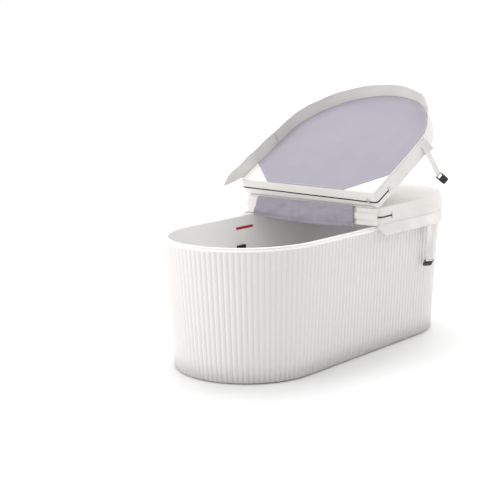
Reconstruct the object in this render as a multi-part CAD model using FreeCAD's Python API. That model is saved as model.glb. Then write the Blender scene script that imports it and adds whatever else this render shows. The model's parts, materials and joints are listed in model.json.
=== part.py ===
import FreeCAD, Part
import math
import os

os.makedirs("parts", exist_ok=True)

# Tub wall
rim_length = 1700.0
rim_width = 800.0
rim_height = 620.0
rim_top_width = 30.0
wall_inset = 41.0
floor_gap = 6.0
lip_drop = 16.0
lip_wall = 4.0
lip_round = 5.0
rim_inner_round = 9.0
flute_pitch = 25.3
flute_depth = 5.0
crest_setback = 1.5
shell_wall = 4.5

# Basin
basin_wall = 6.0
basin_floor_height = 110.0
basin_draw = 55.0
basin_floor_round = 60.0
foam_seat_height = 185.0
foam_edge_gap = 4.0
foam_low_wall = 30.0
foam_joint = 0.5
foam_end_panels = 9

# Small gaps between separate pieces
seat_gap = 0.3
fit_gap = 0.3

# Base under the basin
board_thickness = 12.0
board_half_width = 235.0
tube_side = 25.0
tube_wall = 2.0
rail_offset = 180.0
rail_length_share = 0.64
cross_bar_share = 0.265
frame_screw_shares = (-0.18, 0.06, 0.22)
screw_radius = 2.5
screw_head_radius = 5.0
screw_head_height = 3.0
screw_bite = 8.0
foot_pad_radius = 25.0
foot_pad_height = 12.0
foot_bolt_radius = 6.0
foot_nut_radius = 10.5
foot_nut_height = 10.0
hex_sides = 6

# Waste outlet and its stopper
drain_share = 0.176
drain_bore = 20.0
drain_neck_wall = 5.0
drain_flange_radius = 38.0
drain_flange_thickness = 3.0
drain_gasket_thickness = 3.0
drain_nut_radius = 38.0
drain_nut_height = 11.0
drain_neck_length = 56.0
board_hole_radius = 46.0
pipe_radius = 20.0
pipe_wall = 3.0
pipe_height = 42.0
elbow_wall = 4.0
socket_depth = 18.0
plug_cap_radius = 27.0
plug_cap_thickness = 4.0
plug_stem_radius = 17.0
plug_stem_length = 12.0
plug_knob_radius = 8.0
plug_knob_height = 14.0
plug_seal_thickness = 2.0

# Ball valve behind the tub
valve_stand_off = 17.0
valve_radius = 29.0
valve_ball_radius = 22.0
valve_port_radius = 14.0
valve_outlet_radius = 17.0
valve_outlet_length = 20.0
valve_stem_radius = 5.0
valve_neck_radius = 9.0
valve_neck_height = 7.0
lever_length = 92.0
lever_width = 18.0
lever_thickness = 4.0
lever_nut_radius = 8.0
lever_nut_height = 6.0

# Wall fittings on the far long side
port_share = -0.1765
return_height = 400.0
suction_height = 205.0
overflow_share = -0.063
overflow_drop = 166.0
port_face_radius = 33.0
port_face_thickness = 5.0
port_gasket_thickness = 2.0
port_neck_radius = 20.0
port_bore = 14.0
port_nut_radius = 27.0
port_nut_height = 9.0
port_collar_radius = 24.0
port_tail_radius = 16.0
port_tail_wall = 3.0
port_tail_length = 36.0
port_crest_gap = 4.0
grille_radius = 42.0
grille_depth = 14.0
grille_wall = 3.0
grille_hole_radius = 3.2
grille_ring_radii = (12.0, 22.0, 31.0)
grille_ring_counts = (6, 12, 18)
overflow_width = 62.0
overflow_tall = 38.0
overflow_thickness = 6.0
overflow_neck_radius = 9.0
overflow_bore = 6.0
overflow_nut_radius = 14.0
overflow_collar_radius = 12.0
overflow_tail_radius = 8.0
overflow_slots = 3
overflow_slot_width = 5.0
mark_share = -0.0385
mark_drop = 62.0
mark_length = 128.0
mark_width = 13.0
mark_thickness = 1.0

# Folding cover
cover_overhang = 12.0
cover_end_setback = 10.0
cover_thickness = 90.0
cover_corner = 26.0
cover_top_round = 16.0
cover_low_round = 8.0
fold_half_gap = 12.0
jacket_wall = 3.0
lining_thickness = 1.7
lining_margin = 8.0
lining_fold_margin = 1.0
lining_chamfer_along = 148.0
lining_chamfer_across = 170.0
open_angle = 152.0
channel_length = 640.0
channel_depth = 26.0
channel_wall = 1.5
channel_inset = 14.0
zip_width = 10.0
zip_thickness = 1.0
zip_return = 85.0
slider_length = 14.0
slider_width = 11.0
slider_thickness = 2.6
slider_tab_length = 24.0
slider_tab_width = 6.0
slider_share = -0.45
welt_radius = 5.0
tape_thickness = 1.5
tape_reach = 60.0
tape_rise = 0.2

# Skirts of the cover
skirt_thickness = 2.5
skirt_band = 24.0
skirt_root_rise = 5.0
skirt_slit = 12.0
fixed_drop = 54.0
fixed_skirt_start = 4.0
fixed_slant = 35.0
fixed_side_flare = 28.0
fixed_side_wave = 2.0
fixed_end_flare = 5.0
fixed_end_wave = 2.5
lid_drop = 68.0
tail_length = 150.0
tail_shoulder = 84.0
tail_tip_drop = 40.0
lid_flare = 5.0
lid_wave = 2.5
skirt_waves_side = 3.0
skirt_waves_end = 7.0
side_sections = 9
end_sections = 37
near_skirt_start = 135.0
near_skirt_end_gap = 7.0
near_skirt_lean = 4.0
near_skirt_wave = 1.5
strap_gap_angle = 5.2
fixed_end_angle = 88.0

# Flap at the fold
flap_thickness = 5.0
flap_near_share = -0.33
flap_far_share = 0.4223
flap_top_drop = 12.0
flap_low_end = 4.0
flap_low_mid = 24.0
flap_sway = 2.2
flap_stand = 7.0
flap_sections = 11
flap_waves = 2.5

# Straps and buckles
strap_width = 36.0
strap_thickness = 2.0
fixed_strap_length = 170.0
lid_strap_length = 195.0
strap_loop_radius = 5.4
strap_loop_bore = 3.4
buckle_bar_radius = 3.0
buckle_width = 46.0
buckle_rail = 4.0
buckle_neck = 14.0
buckle_body = 36.0
buckle_thickness = 12.0
buckle_round = 3.0
buckle_mouth_width = 28.0
buckle_mouth_tall = 6.0
buckle_mouth_depth = 3.0
fixed_buckle_tilt = -50.0
lid_buckle_tilt = -30.0
fixed_strap_setback = 32.0
lid_strap_advance = 15.0
strap_edge_gap = 2.0
lid_strap_lean = 13.0

# Sizes that follow
end_radius = rim_width / 2
half_straight = (rim_length - rim_width) / 2
taper = wall_inset / rim_height
basin_floor_low = basin_floor_height - basin_wall
basin_slope = basin_draw / (rim_height - basin_floor_height)
basin_tilt = math.degrees(math.atan(basin_slope))
basin_wall_across = basin_wall / math.cos(math.radians(basin_tilt))
lip_low = rim_height - lip_drop
board_low = basin_floor_low - board_thickness
rail_low = board_low - seat_gap - tube_side
lining_low = rim_height + seat_gap
jacket_low = lining_low + lining_thickness
jacket_high = jacket_low + cover_thickness
cover_radius = end_radius + cover_overhang
cover_end_x = half_straight - cover_end_setback
tape_low = jacket_high + fit_gap
tape_high = tape_low + tape_thickness
axis_height = tape_high + tape_rise
skirt_root = jacket_low + skirt_root_rise
drain_x = drain_share * rim_length
port_x = port_share * rim_length
overflow_x = overflow_share * rim_length

ORIGIN = FreeCAD.Vector(0, 0, 0)
X = FreeCAD.Vector(1, 0, 0)
Y = FreeCAD.Vector(0, 1, 0)
Z = FreeCAD.Vector(0, 0, 1)
TINY = 1e-4
HALF_TURN = 180.0
QUARTER = 90.0


def vec(x, y, z):
    return FreeCAD.Vector(x, y, z)


# Basic solids


def box(x0, x1, y0, y1, z0, z1):
    return Part.makeBox(x1 - x0, y1 - y0, z1 - z0, vec(x0, y0, z0))


def rod(radius, start, end):
    along = end - start
    return Part.makeCylinder(radius, along.Length, start, along)


def tube(radius, bore, start, end):
    return rod(radius, start, end).cut(rod(bore, start, end))


def hex_prism(radius, start, height):
    corners = []
    for k in range(hex_sides + 1):
        turn = 2 * math.pi * k / hex_sides
        corners.append(start + vec(radius * math.cos(turn), radius * math.sin(turn), 0))
    return Part.Face(Part.makePolygon(corners)).extrude(vec(0, 0, height))


def union(shapes):
    shapes = list(shapes)
    return shapes[0].fuse(shapes[1:]).removeSplitter()


def group(shapes):
    return Part.makeCompound(list(shapes))


def rounded_face(corners, place):
    """A flat face from (u, v, corner radius) points, put in space by place(u, v)."""
    marks = []
    count = len(corners)
    for k in range(count):
        here = vec(corners[k][0], corners[k][1], 0)
        before = vec(corners[k - 1][0], corners[k - 1][1], 0)
        after = vec(corners[(k + 1) % count][0], corners[(k + 1) % count][1], 0)
        radius = corners[k][2]
        if radius == 0:
            marks.append((here, None, here))
            continue
        back = (before - here).normalize()
        ahead = (after - here).normalize()
        half = back.getAngle(ahead) / 2
        reach = radius / math.tan(half)
        middle = (back + ahead).normalize()
        crown = here + middle * (radius / math.sin(half) - radius)
        marks.append((here + back * reach, crown, here + ahead * reach))
    edges = []
    for k in range(count):
        start, crown, end = [p and place(p.x, p.y) for p in marks[k]]
        if crown:
            edges.append(Part.Arc(start, crown, end).toShape())
        nxt = marks[(k + 1) % count][0]
        nxt = place(nxt.x, nxt.y)
        if (nxt - end).Length > TINY:
            edges.append(Part.makeLine(end, nxt))
    return Part.Face(Part.Wire(edges))


def around(corners):
    """Sweep a (radius, height, corner radius) section round the whole tub outline."""

    def near(u, v):
        return vec(-half_straight, -u, v)

    def far(u, v):
        return vec(half_straight, u, v)

    run = vec(2 * half_straight, 0, 0)
    near_face = rounded_face(corners, near)
    far_face = rounded_face(corners, far)
    pieces = [
        near_face.extrude(run),
        far_face.extrude(run * -1),
        near_face.revolve(vec(-half_straight, 0, 0), Z, -HALF_TURN),
        far_face.revolve(vec(half_straight, 0, 0), Z, -HALF_TURN),
    ]
    return union(pieces)


# Tub wall and basin


def crest_radius(z):
    return end_radius - crest_setback - taper * (rim_height - z)


def shell_inside(z):
    return crest_radius(z) - flute_depth - shell_wall


def basin_inside(z):
    return end_radius - rim_top_width - basin_slope * (rim_height - z)


def basin_outside(z):
    return basin_inside(z) + basin_wall_across


def flute_stations():
    """Half-flute steps round the outline as (base x, outward angle)."""
    side = round(2 * half_straight / flute_pitch)
    end = round(math.pi * crest_radius(rim_height / 2) / flute_pitch)
    steps = []
    for k in range(2 * side):
        steps.append((half_straight * (k / side - 1), -QUARTER))
    for k in range(2 * end):
        steps.append((half_straight, QUARTER * (k / end - 1)))
    for k in range(2 * side):
        steps.append((half_straight * (1 - k / side), QUARTER))
    for k in range(2 * end):
        steps.append((-half_straight, QUARTER * (k / end + 1)))
    return steps


def at_station(station, radius, z):
    turn = math.radians(station[1])
    return vec(station[0] + radius * math.cos(turn), radius * math.sin(turn), z)


def fluted_wire(z):
    steps = flute_stations()
    crest = crest_radius(z)
    valley = crest - flute_depth
    edges = []
    for k in range(0, len(steps), 2):
        start = at_station(steps[k], valley, z)
        top = at_station(steps[k + 1], crest, z)
        end = at_station(steps[(k + 2) % len(steps)], valley, z)
        edges.append(Part.Arc(start, top, end).toShape())
    return Part.Wire(edges)


def outer_shell():
    low, high = floor_gap, lip_low - seat_gap
    body = Part.makeLoft([fluted_wire(low), fluted_wire(high)], True, True)
    inside = [(0, 0, 0), (shell_inside(0), 0, 0)]
    inside += [(shell_inside(rim_height), rim_height, 0), (0, rim_height, 0)]
    shell = body.cut(around(inside))
    holes = [pipe_hole()]
    for spot, collar in wall_ports():
        holes.append(along_port(spot, rod(collar + fit_gap, ORIGIN, Z * end_radius)))
    return shell.cut(holes)


def inner_basin():
    floor_inner = basin_inside(basin_floor_height)
    under_rim = rim_height - basin_wall
    lip_inner = end_radius - lip_wall
    section = [
        (0, basin_floor_low, 0),
        (basin_outside(basin_floor_low), basin_floor_low, basin_floor_round + basin_wall),
        (basin_outside(under_rim), under_rim, 0),
        (lip_inner, under_rim, 0),
        (lip_inner, lip_low, 0),
        (end_radius, lip_low, 0),
        (end_radius, rim_height, lip_round),
        (end_radius - rim_top_width, rim_height, rim_inner_round),
        (floor_inner, basin_floor_height, basin_floor_round),
        (0, basin_floor_height, 0),
    ]
    basin = around(section)
    neck = drain_bore + drain_neck_wall + fit_gap
    holes = [rod(neck, vec(drain_x, 0, 0), vec(drain_x, 0, rim_height))]
    for spot, size in port_necks():
        holes.append(along_port(spot, rod(size + fit_gap, Z * -basin_wall, Z * port_neck_end(spot))))
    return basin.cut(holes)


def foam_joints():
    """Thin gaps between the foam panels, fanned round the two ends."""
    gaps = []
    for k in range(foam_end_panels + 1):
        turn = HALF_TURN * k / foam_end_panels - QUARTER
        for side in (-1, 1):
            gap = box(0, end_radius, -foam_joint / 2, foam_joint / 2, 0, rim_height)
            gap.rotate(ORIGIN, Z, turn + QUARTER - side * QUARTER)
            gap.translate(X * side * half_straight)
            gaps.append(gap)
    return gaps


def foam_jacket():
    low, high = floor_gap + foam_edge_gap, lip_low - seat_gap
    outside = shell_inside(low) - seat_gap
    section = [
        (outside - foam_low_wall, low, 0),
        (outside, low, 0),
        (shell_inside(high) - seat_gap, high, 0),
        (basin_outside(high) + seat_gap, high, 0),
        (basin_outside(foam_seat_height) + seat_gap, foam_seat_height, 0),
    ]
    jacket = around(section)
    holes = [pipe_hole()]
    for spot, nut in port_nuts():
        holes.append(along_port(spot, rod(nut + fit_gap, ORIGIN, Z * end_radius)))
    return jacket.cut(holes + foam_joints())


# Base under the basin


def foot_spots():
    x = cross_bar_share * rim_length
    spots = [vec(0, 0, 0)]
    for sx in (-1, 1):
        for sy in (-1, 1):
            spots.append(vec(sx * x, sy * rail_offset, 0))
    return spots


def screw_spots():
    spots = []
    for share in frame_screw_shares:
        for side in (-1, 1):
            spots.append(vec(share * rim_length, side * rail_offset, 0))
    return spots


def base_board():
    face = [(0, board_low, 0), (board_half_width, board_low, 0)]
    face += [(board_half_width, basin_floor_low - seat_gap, 0), (0, basin_floor_low - seat_gap, 0)]
    holes = [rod(board_hole_radius, vec(drain_x, 0, 0), vec(drain_x, 0, rim_height))]
    for spot in screw_spots():
        holes.append(rod(screw_radius, spot, spot + Z * (board_low + screw_bite + seat_gap)))
    return around(face).cut(holes)


def square_tube(start, end):
    half = tube_side / 2
    hollow = half - tube_wall
    along = (end - start).normalize()
    side = along.cross(Z) * half
    inner = along.cross(Z) * hollow
    bars = []
    for across, up in ((side, Z * half), (inner, Z * hollow)):
        a, b = start - across - up, start + across - up
        c, d = start + across + up, start - across + up
        bars.append(Part.Face(Part.makePolygon([a, b, c, d, a])).extrude(end - start))
    return bars[0].cut(bars[1])


def frame_holes():
    holes = []
    for spot in screw_spots():
        holes.append(rod(screw_radius + fit_gap, spot, spot + Z * rim_height))
    for spot in foot_spots():
        top = rail_low + tube_wall
        holes.append(rod(foot_bolt_radius + fit_gap, spot, spot + Z * (top + TINY)))
    return holes


def base_rail(side):
    z = board_low - seat_gap - tube_side / 2
    reach = rail_length_share * rim_length / 2
    y = side * rail_offset
    return square_tube(vec(-reach, y, z), vec(reach, y, z)).cut(frame_holes())


def base_bar(share):
    z = board_low - seat_gap - tube_side / 2
    inner = rail_offset - tube_side / 2 - seat_gap
    x = share * rim_length
    return square_tube(vec(x, -inner, z), vec(x, inner, z)).cut(frame_holes())


def frame_screw(spot):
    under = spot + Z * (rail_low - seat_gap)
    tip = spot + Z * (board_low + screw_bite)
    head = rod(screw_head_radius, under - Z * screw_head_height, under)
    return union([head, rod(screw_radius - TINY, under, tip)])


def foot_pad(spot):
    pad = rod(foot_pad_radius, spot, spot + Z * foot_pad_height)
    socket = foot_pad_height / 2
    return pad.cut(rod(foot_bolt_radius + fit_gap, spot + Z * socket, spot + Z * foot_pad_height))


def foot_bolt(spot):
    low = foot_pad_height / 2 + seat_gap
    return rod(foot_bolt_radius, spot + Z * low, spot + Z * (rail_low + tube_side / 2))


def foot_nut(spot):
    start = spot + Z * (rail_low - seat_gap - foot_nut_height)
    nut = hex_prism(foot_nut_radius, start, foot_nut_height)
    return nut.cut(rod(foot_bolt_radius + fit_gap, start, start + Z * foot_nut_height))


# Waste outlet and stopper


def drain_at(z):
    return vec(drain_x, 0, z)


def drain_body():
    neck = drain_bore + drain_neck_wall
    low = basin_floor_height + seat_gap
    high = low + drain_flange_thickness
    flange = rod(drain_flange_radius, drain_at(low), drain_at(high))
    pipe = rod(neck, drain_at(high - drain_neck_length), drain_at(high))
    bore = rod(drain_bore, drain_at(0), drain_at(high))
    return union([flange, pipe]).cut(bore)


def drain_gasket():
    high = basin_floor_low - seat_gap
    neck = drain_bore + drain_neck_wall + fit_gap
    return tube(drain_flange_radius, neck, drain_at(high - drain_gasket_thickness), drain_at(high))


def drain_nut():
    high = basin_floor_low - 2 * seat_gap - drain_gasket_thickness
    start = drain_at(high - drain_nut_height)
    neck = drain_bore + drain_neck_wall + fit_gap
    nut = hex_prism(drain_nut_radius, start, drain_nut_height)
    return nut.cut(rod(neck, start, drain_at(high)))


def drain_elbow():
    neck = drain_bore + drain_neck_wall + fit_gap
    outer = neck + elbow_wall
    neck_low = basin_floor_height + seat_gap + drain_flange_thickness - drain_neck_length
    low = pipe_height - pipe_radius - 2 * elbow_wall
    high = neck_low + socket_depth / 2
    arm = outer + socket_depth
    side = drain_at(pipe_height)
    shell = union([
        rod(outer, drain_at(low), drain_at(high)),
        rod(pipe_radius + fit_gap + elbow_wall, side, side + Y * arm),
    ])
    hollow = [
        rod(drain_bore, drain_at(pipe_height - pipe_radius + elbow_wall), drain_at(high)),
        rod(neck, drain_at(neck_low - seat_gap), drain_at(high)),
        rod(pipe_radius - pipe_wall, side, side + Y * arm),
        rod(pipe_radius + fit_gap, side + Y * (outer - seat_gap), side + Y * arm),
    ]
    return shell.cut(hollow)


def valve_start():
    return crest_radius(pipe_height) + valve_stand_off


def ball_centre():
    return vec(drain_x, valve_start() + socket_depth + valve_ball_radius, pipe_height)


def drain_pipe():
    start = drain_at(pipe_height) + Y * (drain_bore + drain_neck_wall + fit_gap + elbow_wall)
    end = vec(drain_x, valve_start() + socket_depth - seat_gap, pipe_height)
    return tube(pipe_radius, pipe_radius - pipe_wall, start, end)


def pipe_hole():
    start = drain_at(pipe_height)
    return rod(pipe_radius + fit_gap, start, start + Y * end_radius)


def drain_plug():
    cap_low = basin_floor_height + 2 * seat_gap + drain_flange_thickness + plug_seal_thickness + seat_gap
    cap_high = cap_low + plug_cap_thickness
    return union([
        rod(plug_cap_radius, drain_at(cap_low), drain_at(cap_high)),
        rod(plug_stem_radius, drain_at(cap_low - plug_stem_length), drain_at(cap_low)),
        rod(plug_knob_radius, drain_at(cap_high), drain_at(cap_high + plug_knob_height)),
    ])


def plug_seal():
    low = basin_floor_height + 2 * seat_gap + drain_flange_thickness
    bore = plug_stem_radius + fit_gap
    return tube(plug_cap_radius, bore, drain_at(low), drain_at(low + plug_seal_thickness))


# Ball valve


def valve_body():
    ball = ball_centre()
    start = vec(drain_x, valve_start(), pipe_height)
    end = ball + Y * (valve_ball_radius + valve_outlet_length)
    neck_top = ball + Z * (valve_radius + valve_neck_height)
    body = union([rod(valve_radius, start, end), rod(valve_neck_radius, ball, neck_top)])
    hollow = [
        rod(pipe_radius + fit_gap, start, start + Y * socket_depth),
        rod(valve_port_radius, start, end),
        rod(valve_outlet_radius, ball + Y * valve_ball_radius, end),
        Part.makeSphere(valve_ball_radius + fit_gap, ball),
        rod(valve_stem_radius + fit_gap, ball, neck_top),
    ]
    return body.cut(hollow)


def lever_low():
    return ball_centre().z + valve_radius + valve_neck_height + seat_gap


def valve_ball():
    ball = ball_centre()
    top = vec(ball.x, ball.y, lever_low() + lever_thickness + lever_nut_height)
    port = rod(valve_port_radius, ball - X * valve_radius, ball + X * valve_radius)
    round_ball = Part.makeSphere(valve_ball_radius, ball).cut(port)
    stem = rod(valve_stem_radius, ball + Z * (valve_port_radius + elbow_wall), top)
    return union([round_ball, stem])


def valve_lever():
    ball = ball_centre()
    low = lever_low()
    half = lever_width / 2
    hub = rod(half, vec(ball.x, ball.y, low), vec(ball.x, ball.y, low + lever_thickness))
    arm = box(ball.x, ball.x + lever_length, ball.y - half, ball.y + half, low, low + lever_thickness)
    tip = rod(half, vec(ball.x + lever_length, ball.y, low), vec(ball.x + lever_length, ball.y, low + lever_thickness))
    bore = rod(valve_stem_radius + fit_gap, ball, vec(ball.x, ball.y, low + lever_thickness))
    return union([hub, arm, tip]).cut(bore)


def valve_nut():
    ball = ball_centre()
    start = vec(ball.x, ball.y, lever_low() + lever_thickness + seat_gap)
    nut = hex_prism(lever_nut_radius, start, lever_nut_height)
    return nut.cut(rod(valve_stem_radius + fit_gap, start, start + Z * lever_nut_height))


# Fittings through the far wall, built along Z with the basin face at zero

return_spot = (port_x, return_height)
suction_spot = (port_x, suction_height)
overflow_spot = (overflow_x, rim_height - overflow_drop)


def along_port(spot, shape):
    shape = shape.copy()
    shape.rotate(ORIGIN, X, -(QUARTER + basin_tilt))
    shape.translate(vec(spot[0], basin_inside(spot[1]), spot[1]))
    return shape


def wall_ports():
    pair = [(return_spot, port_collar_radius), (suction_spot, port_collar_radius)]
    return pair + [(overflow_spot, overflow_collar_radius)]


def port_necks():
    pair = [(return_spot, port_neck_radius), (suction_spot, port_neck_radius)]
    return pair + [(overflow_spot, overflow_neck_radius)]


def port_nuts():
    pair = [(return_spot, port_nut_radius), (suction_spot, port_nut_radius)]
    return pair + [(overflow_spot, overflow_nut_radius)]


def port_wall_span(spot):
    return (crest_radius(spot[1]) - basin_inside(spot[1])) / math.cos(math.radians(basin_tilt))


def port_neck_end(spot):
    return port_wall_span(spot) - shell_wall


def port_face(spot):
    face = rod(port_face_radius, Z * -(port_gasket_thickness + port_face_thickness), Z * -port_gasket_thickness)
    rim = [e for e in face.Edges if abs(e.BoundBox.ZMax + port_gasket_thickness + port_face_thickness) < TINY]
    face = face.makeFillet(port_face_thickness / 2, rim)
    neck = rod(port_neck_radius, Z * -port_gasket_thickness, Z * port_neck_end(spot))
    bore = rod(port_bore, Z * -grille_depth, Z * rim_top_width * 2)
    return along_port(spot, union([face, neck]).cut(bore))


def port_gasket(spot, radius, neck):
    ring = tube(radius, neck + fit_gap, Z * (seat_gap - port_gasket_thickness), Z * -seat_gap)
    return along_port(spot, ring)


def port_nut(spot, radius, neck):
    start = Z * (basin_wall + seat_gap)
    nut = hex_prism(radius, start, port_nut_height)
    return along_port(spot, nut.cut(rod(neck + fit_gap, start, start + Z * port_nut_height)))


def port_tail(spot, collar, neck, tail, bore):
    start = basin_wall + 2 * seat_gap + port_nut_height
    end = port_neck_end(spot) + seat_gap
    face = port_wall_span(spot) + port_crest_gap
    body = union([
        rod(collar, Z * start, Z * face),
        rod(tail, Z * face, Z * (face + port_tail_length)),
    ])
    hollow = [rod(neck + fit_gap, Z * start, Z * end), rod(bore, Z * start, Z * (face + port_tail_length))]
    return along_port(spot, body.cut(hollow))


def return_tail():
    return port_tail(return_spot, port_collar_radius, port_neck_radius,
                     port_tail_radius, port_tail_radius - port_tail_wall)


def suction_tail():
    return port_tail(suction_spot, port_collar_radius, port_neck_radius,
                     port_tail_radius, port_tail_radius - port_tail_wall)


def overflow_tail():
    return port_tail(overflow_spot, overflow_collar_radius, overflow_neck_radius,
                     overflow_tail_radius, overflow_bore)


def suction_grille():
    near = -seat_gap
    face = Z * (near - grille_depth)
    cup = rod(grille_radius, face, Z * near)
    cup = cup.makeFillet(grille_wall, [e for e in cup.Edges if abs(e.BoundBox.ZMax - face.z) < TINY])
    hollow = rod(grille_radius - grille_wall, face + Z * grille_wall, Z * near)
    holes = [rod(grille_hole_radius, face, face + Z * grille_wall)]
    for ring, count in zip(grille_ring_radii, grille_ring_counts):
        for k in range(count):
            turn = 2 * math.pi * k / count
            spot = face + vec(ring * math.cos(turn), ring * math.sin(turn), 0)
            holes.append(rod(grille_hole_radius, spot, spot + Z * grille_wall))
    return along_port(suction_spot, cup.cut([hollow] + holes))


def overflow_cover():
    wide, tall = overflow_width / 2, overflow_tall / 2
    far = -port_gasket_thickness
    near = far - overflow_thickness
    plate = box(-wide, wide, -tall, tall, near, far)
    plate = plate.makeFillet(buckle_round, [e for e in plate.Edges if e.BoundBox.ZMax > far - TINY
                                            and e.BoundBox.ZMin < near + TINY])
    neck = rod(overflow_neck_radius, Z * far, Z * port_neck_end(overflow_spot))
    body = union([plate, neck])
    bore = rod(overflow_bore, Z * (far - overflow_thickness / 2), Z * rim_top_width * 2)
    slots = []
    for k in range(overflow_slots):
        x = overflow_width * ((k + 1) / (overflow_slots + 1) - 1 / 2)
        half = overflow_slot_width / 2
        slots.append(box(x - half, x + half, -tall / 2, tall / 2, near, near + overflow_thickness / 2))
    return along_port(overflow_spot, body.cut([bore] + slots))


def overflow_gasket():
    wide, tall = overflow_width / 2 - buckle_round, overflow_tall / 2 - buckle_round
    plate = box(-wide, wide, -tall, tall, seat_gap - port_gasket_thickness, -seat_gap)
    hole = rod(overflow_neck_radius + fit_gap, Z * -port_gasket_thickness, ORIGIN)
    return along_port(overflow_spot, plate.cut(hole))


def level_mark():
    half, tall = mark_length / 2, mark_width / 2
    plate = box(-half, half, -tall, tall, -(mark_thickness + seat_gap), -seat_gap)
    return along_port((mark_share * rim_length, rim_height - mark_drop), plate)


# Cover panels, built for the half that stays on the tub


def panel_outline(inset, z):
    fold = fold_half_gap + inset
    side = cover_radius - inset
    corner = cover_corner - inset
    bend = corner * (1 - math.sqrt(1 / 2))
    edges = [
        Part.makeLine(vec(fold, side - corner, z), vec(fold, corner - side, z)),
        Part.Arc(vec(fold, corner - side, z), vec(fold + bend, bend - side, z), vec(fold + corner, -side, z)).toShape(),
        Part.makeLine(vec(fold + corner, -side, z), vec(cover_end_x, -side, z)),
        Part.Arc(vec(cover_end_x, -side, z), vec(cover_end_x + side, 0, z), vec(cover_end_x, side, z)).toShape(),
        Part.makeLine(vec(cover_end_x, side, z), vec(fold + corner, side, z)),
        Part.Arc(vec(fold + corner, side, z), vec(fold + bend, side - bend, z), vec(fold, side - corner, z)).toShape(),
    ]
    return Part.Face(Part.Wire(edges))


def level_edges(shape, z):
    return [e for e in shape.Edges if abs(e.BoundBox.ZMin - z) < TINY and abs(e.BoundBox.ZMax - z) < TINY]


def panel(inset):
    low, high = jacket_low + inset, jacket_high - inset
    block = panel_outline(inset, low).extrude(Z * (high - low))
    block = block.makeFillet(cover_top_round - inset, level_edges(block, high))
    return block.makeFillet(cover_low_round - inset, level_edges(block, low))


def jacket():
    return panel(0).cut(panel(jacket_wall))


def channel_block(grow):
    start = fold_half_gap + jacket_wall + channel_inset
    low = jacket_low + jacket_wall + channel_inset
    high = jacket_high - jacket_wall - channel_inset
    half = channel_length / 2
    outer = box(start - grow, start + channel_depth + grow, -half - grow, half + grow, low - grow, high + grow)
    wall = channel_wall + grow
    inner = box(start + wall, start + channel_depth + cover_radius, -half - cover_radius, half + cover_radius,
                low + wall, high - wall)
    return outer.cut(inner)


def channel():
    return channel_block(0)


def core():
    return panel(jacket_wall + fit_gap).cut(channel_block(fit_gap))


def lining():
    side = cover_radius - lining_margin
    fold = fold_half_gap + lining_fold_margin
    cut_x = fold + lining_chamfer_along
    cut_y = side - lining_chamfer_across
    low = lining_low
    points = [vec(cover_end_x, side, low), vec(cut_x, side, low), vec(fold, cut_y, low)]
    points += [vec(fold, -cut_y, low), vec(cut_x, -side, low), vec(cover_end_x, -side, low)]
    edges = [Part.makeLine(a, b) for a, b in zip(points, points[1:])]
    edges.append(Part.Arc(points[-1], vec(cover_end_x + side, 0, low), points[0]).toShape())
    return Part.Face(Part.Wire(edges)).extrude(Z * (lining_thickness - seat_gap / 2))


def zip_strip():
    middle = (jacket_low + jacket_high) / 2
    low = middle - zip_width / 2
    outer = panel_outline(-(fit_gap + zip_thickness), low)
    inner = panel_outline(-fit_gap, low)
    ring = outer.cut(inner).extrude(Z * zip_width)
    reach = fold_half_gap + cover_corner + zip_return
    return ring.common(box(-reach, reach, -rim_width, rim_width, low, low + zip_width))


def hinge_welt():
    half = cover_radius - cover_corner
    axis = vec(0, 0, axis_height)
    cord = rod(welt_radius, axis - Y * half, axis + Y * half)
    tape = box(welt_radius / 2, tape_reach, -half, half, tape_low, tape_high)
    return union([cord, tape])


def lid_tape():
    half = cover_radius - cover_corner
    return box(welt_radius + fit_gap, tape_reach, -half, half, tape_low, tape_high)


def zip_slider():
    middle = (jacket_low + jacket_high) / 2
    face = fold_half_gap - 2 * fit_gap - zip_thickness
    y = -slider_share * 2 * cover_radius
    half = slider_width / 2
    body = box(face - slider_thickness, face, y - slider_length / 2, y + slider_length / 2,
               middle - half, middle + half)
    tab = box(face - slider_thickness, face - slider_thickness / 2, y - slider_tab_width / 2,
              y + slider_tab_width / 2, middle - half - slider_tab_length, middle - half)
    return union([body, tab])


# Skirts, as sections that follow the panel's edge


def skirt_section(station, drop, flare):
    turn = math.radians(station[1])
    lean = math.radians(flare)
    out = vec(math.cos(turn), math.sin(turn), 0)
    face = at_station(station, cover_radius + fit_gap, skirt_root)
    down = out * math.sin(lean) - Z * math.cos(lean)
    square = out * math.cos(lean) + Z * math.sin(lean)
    kink = Z * (skirt_thickness * math.tan(lean / 2))
    outer = face + out * skirt_thickness
    tip = outer + down * drop
    points = [face + Z * skirt_band, outer + Z * skirt_band, outer, tip]
    points += [tip - square * skirt_thickness, face - kink]
    return Part.makePolygon(points + points[:1])


def wave_at(share, waves):
    return math.sin(2 * math.pi * waves * share)


def skirt_sheet(stations, drop, flare, wave, waves):
    last = len(stations) - 1
    sections = []
    for k, station in enumerate(stations):
        sections.append(skirt_section(station, drop, flare + wave * wave_at(k / last, waves)))
    return Part.makeLoft(sections, True, False)


def side_stations(start, end, angle):
    return [(start + (end - start) * k / (side_sections - 1), angle) for k in range(side_sections)]


def end_stations(reach):
    return [(cover_end_x, reach * (2 * k / (end_sections - 1) - 1)) for k in range(end_sections)]


def trim_block(points):
    """A block that trims the end of a side skirt, from (x, z) points."""
    corners = [vec(x, -rim_width, z) for x, z in points]
    return Part.Face(Part.makePolygon(corners + corners[:1])).extrude(Y * (2 * rim_width))


def slant_cut(start, sewn):
    """Trims the fixed skirt to a slant at the fold; it is sewn on from the end of the panel's corner."""
    top = skirt_root + skirt_band * 2
    low = skirt_root - fixed_drop * 2
    away = start - rim_width
    points = [(sewn, top), (sewn, skirt_root), (start, skirt_root), (start + fixed_slant * 2, low)]
    return trim_block(points + [(away, low), (away, top)])


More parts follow.
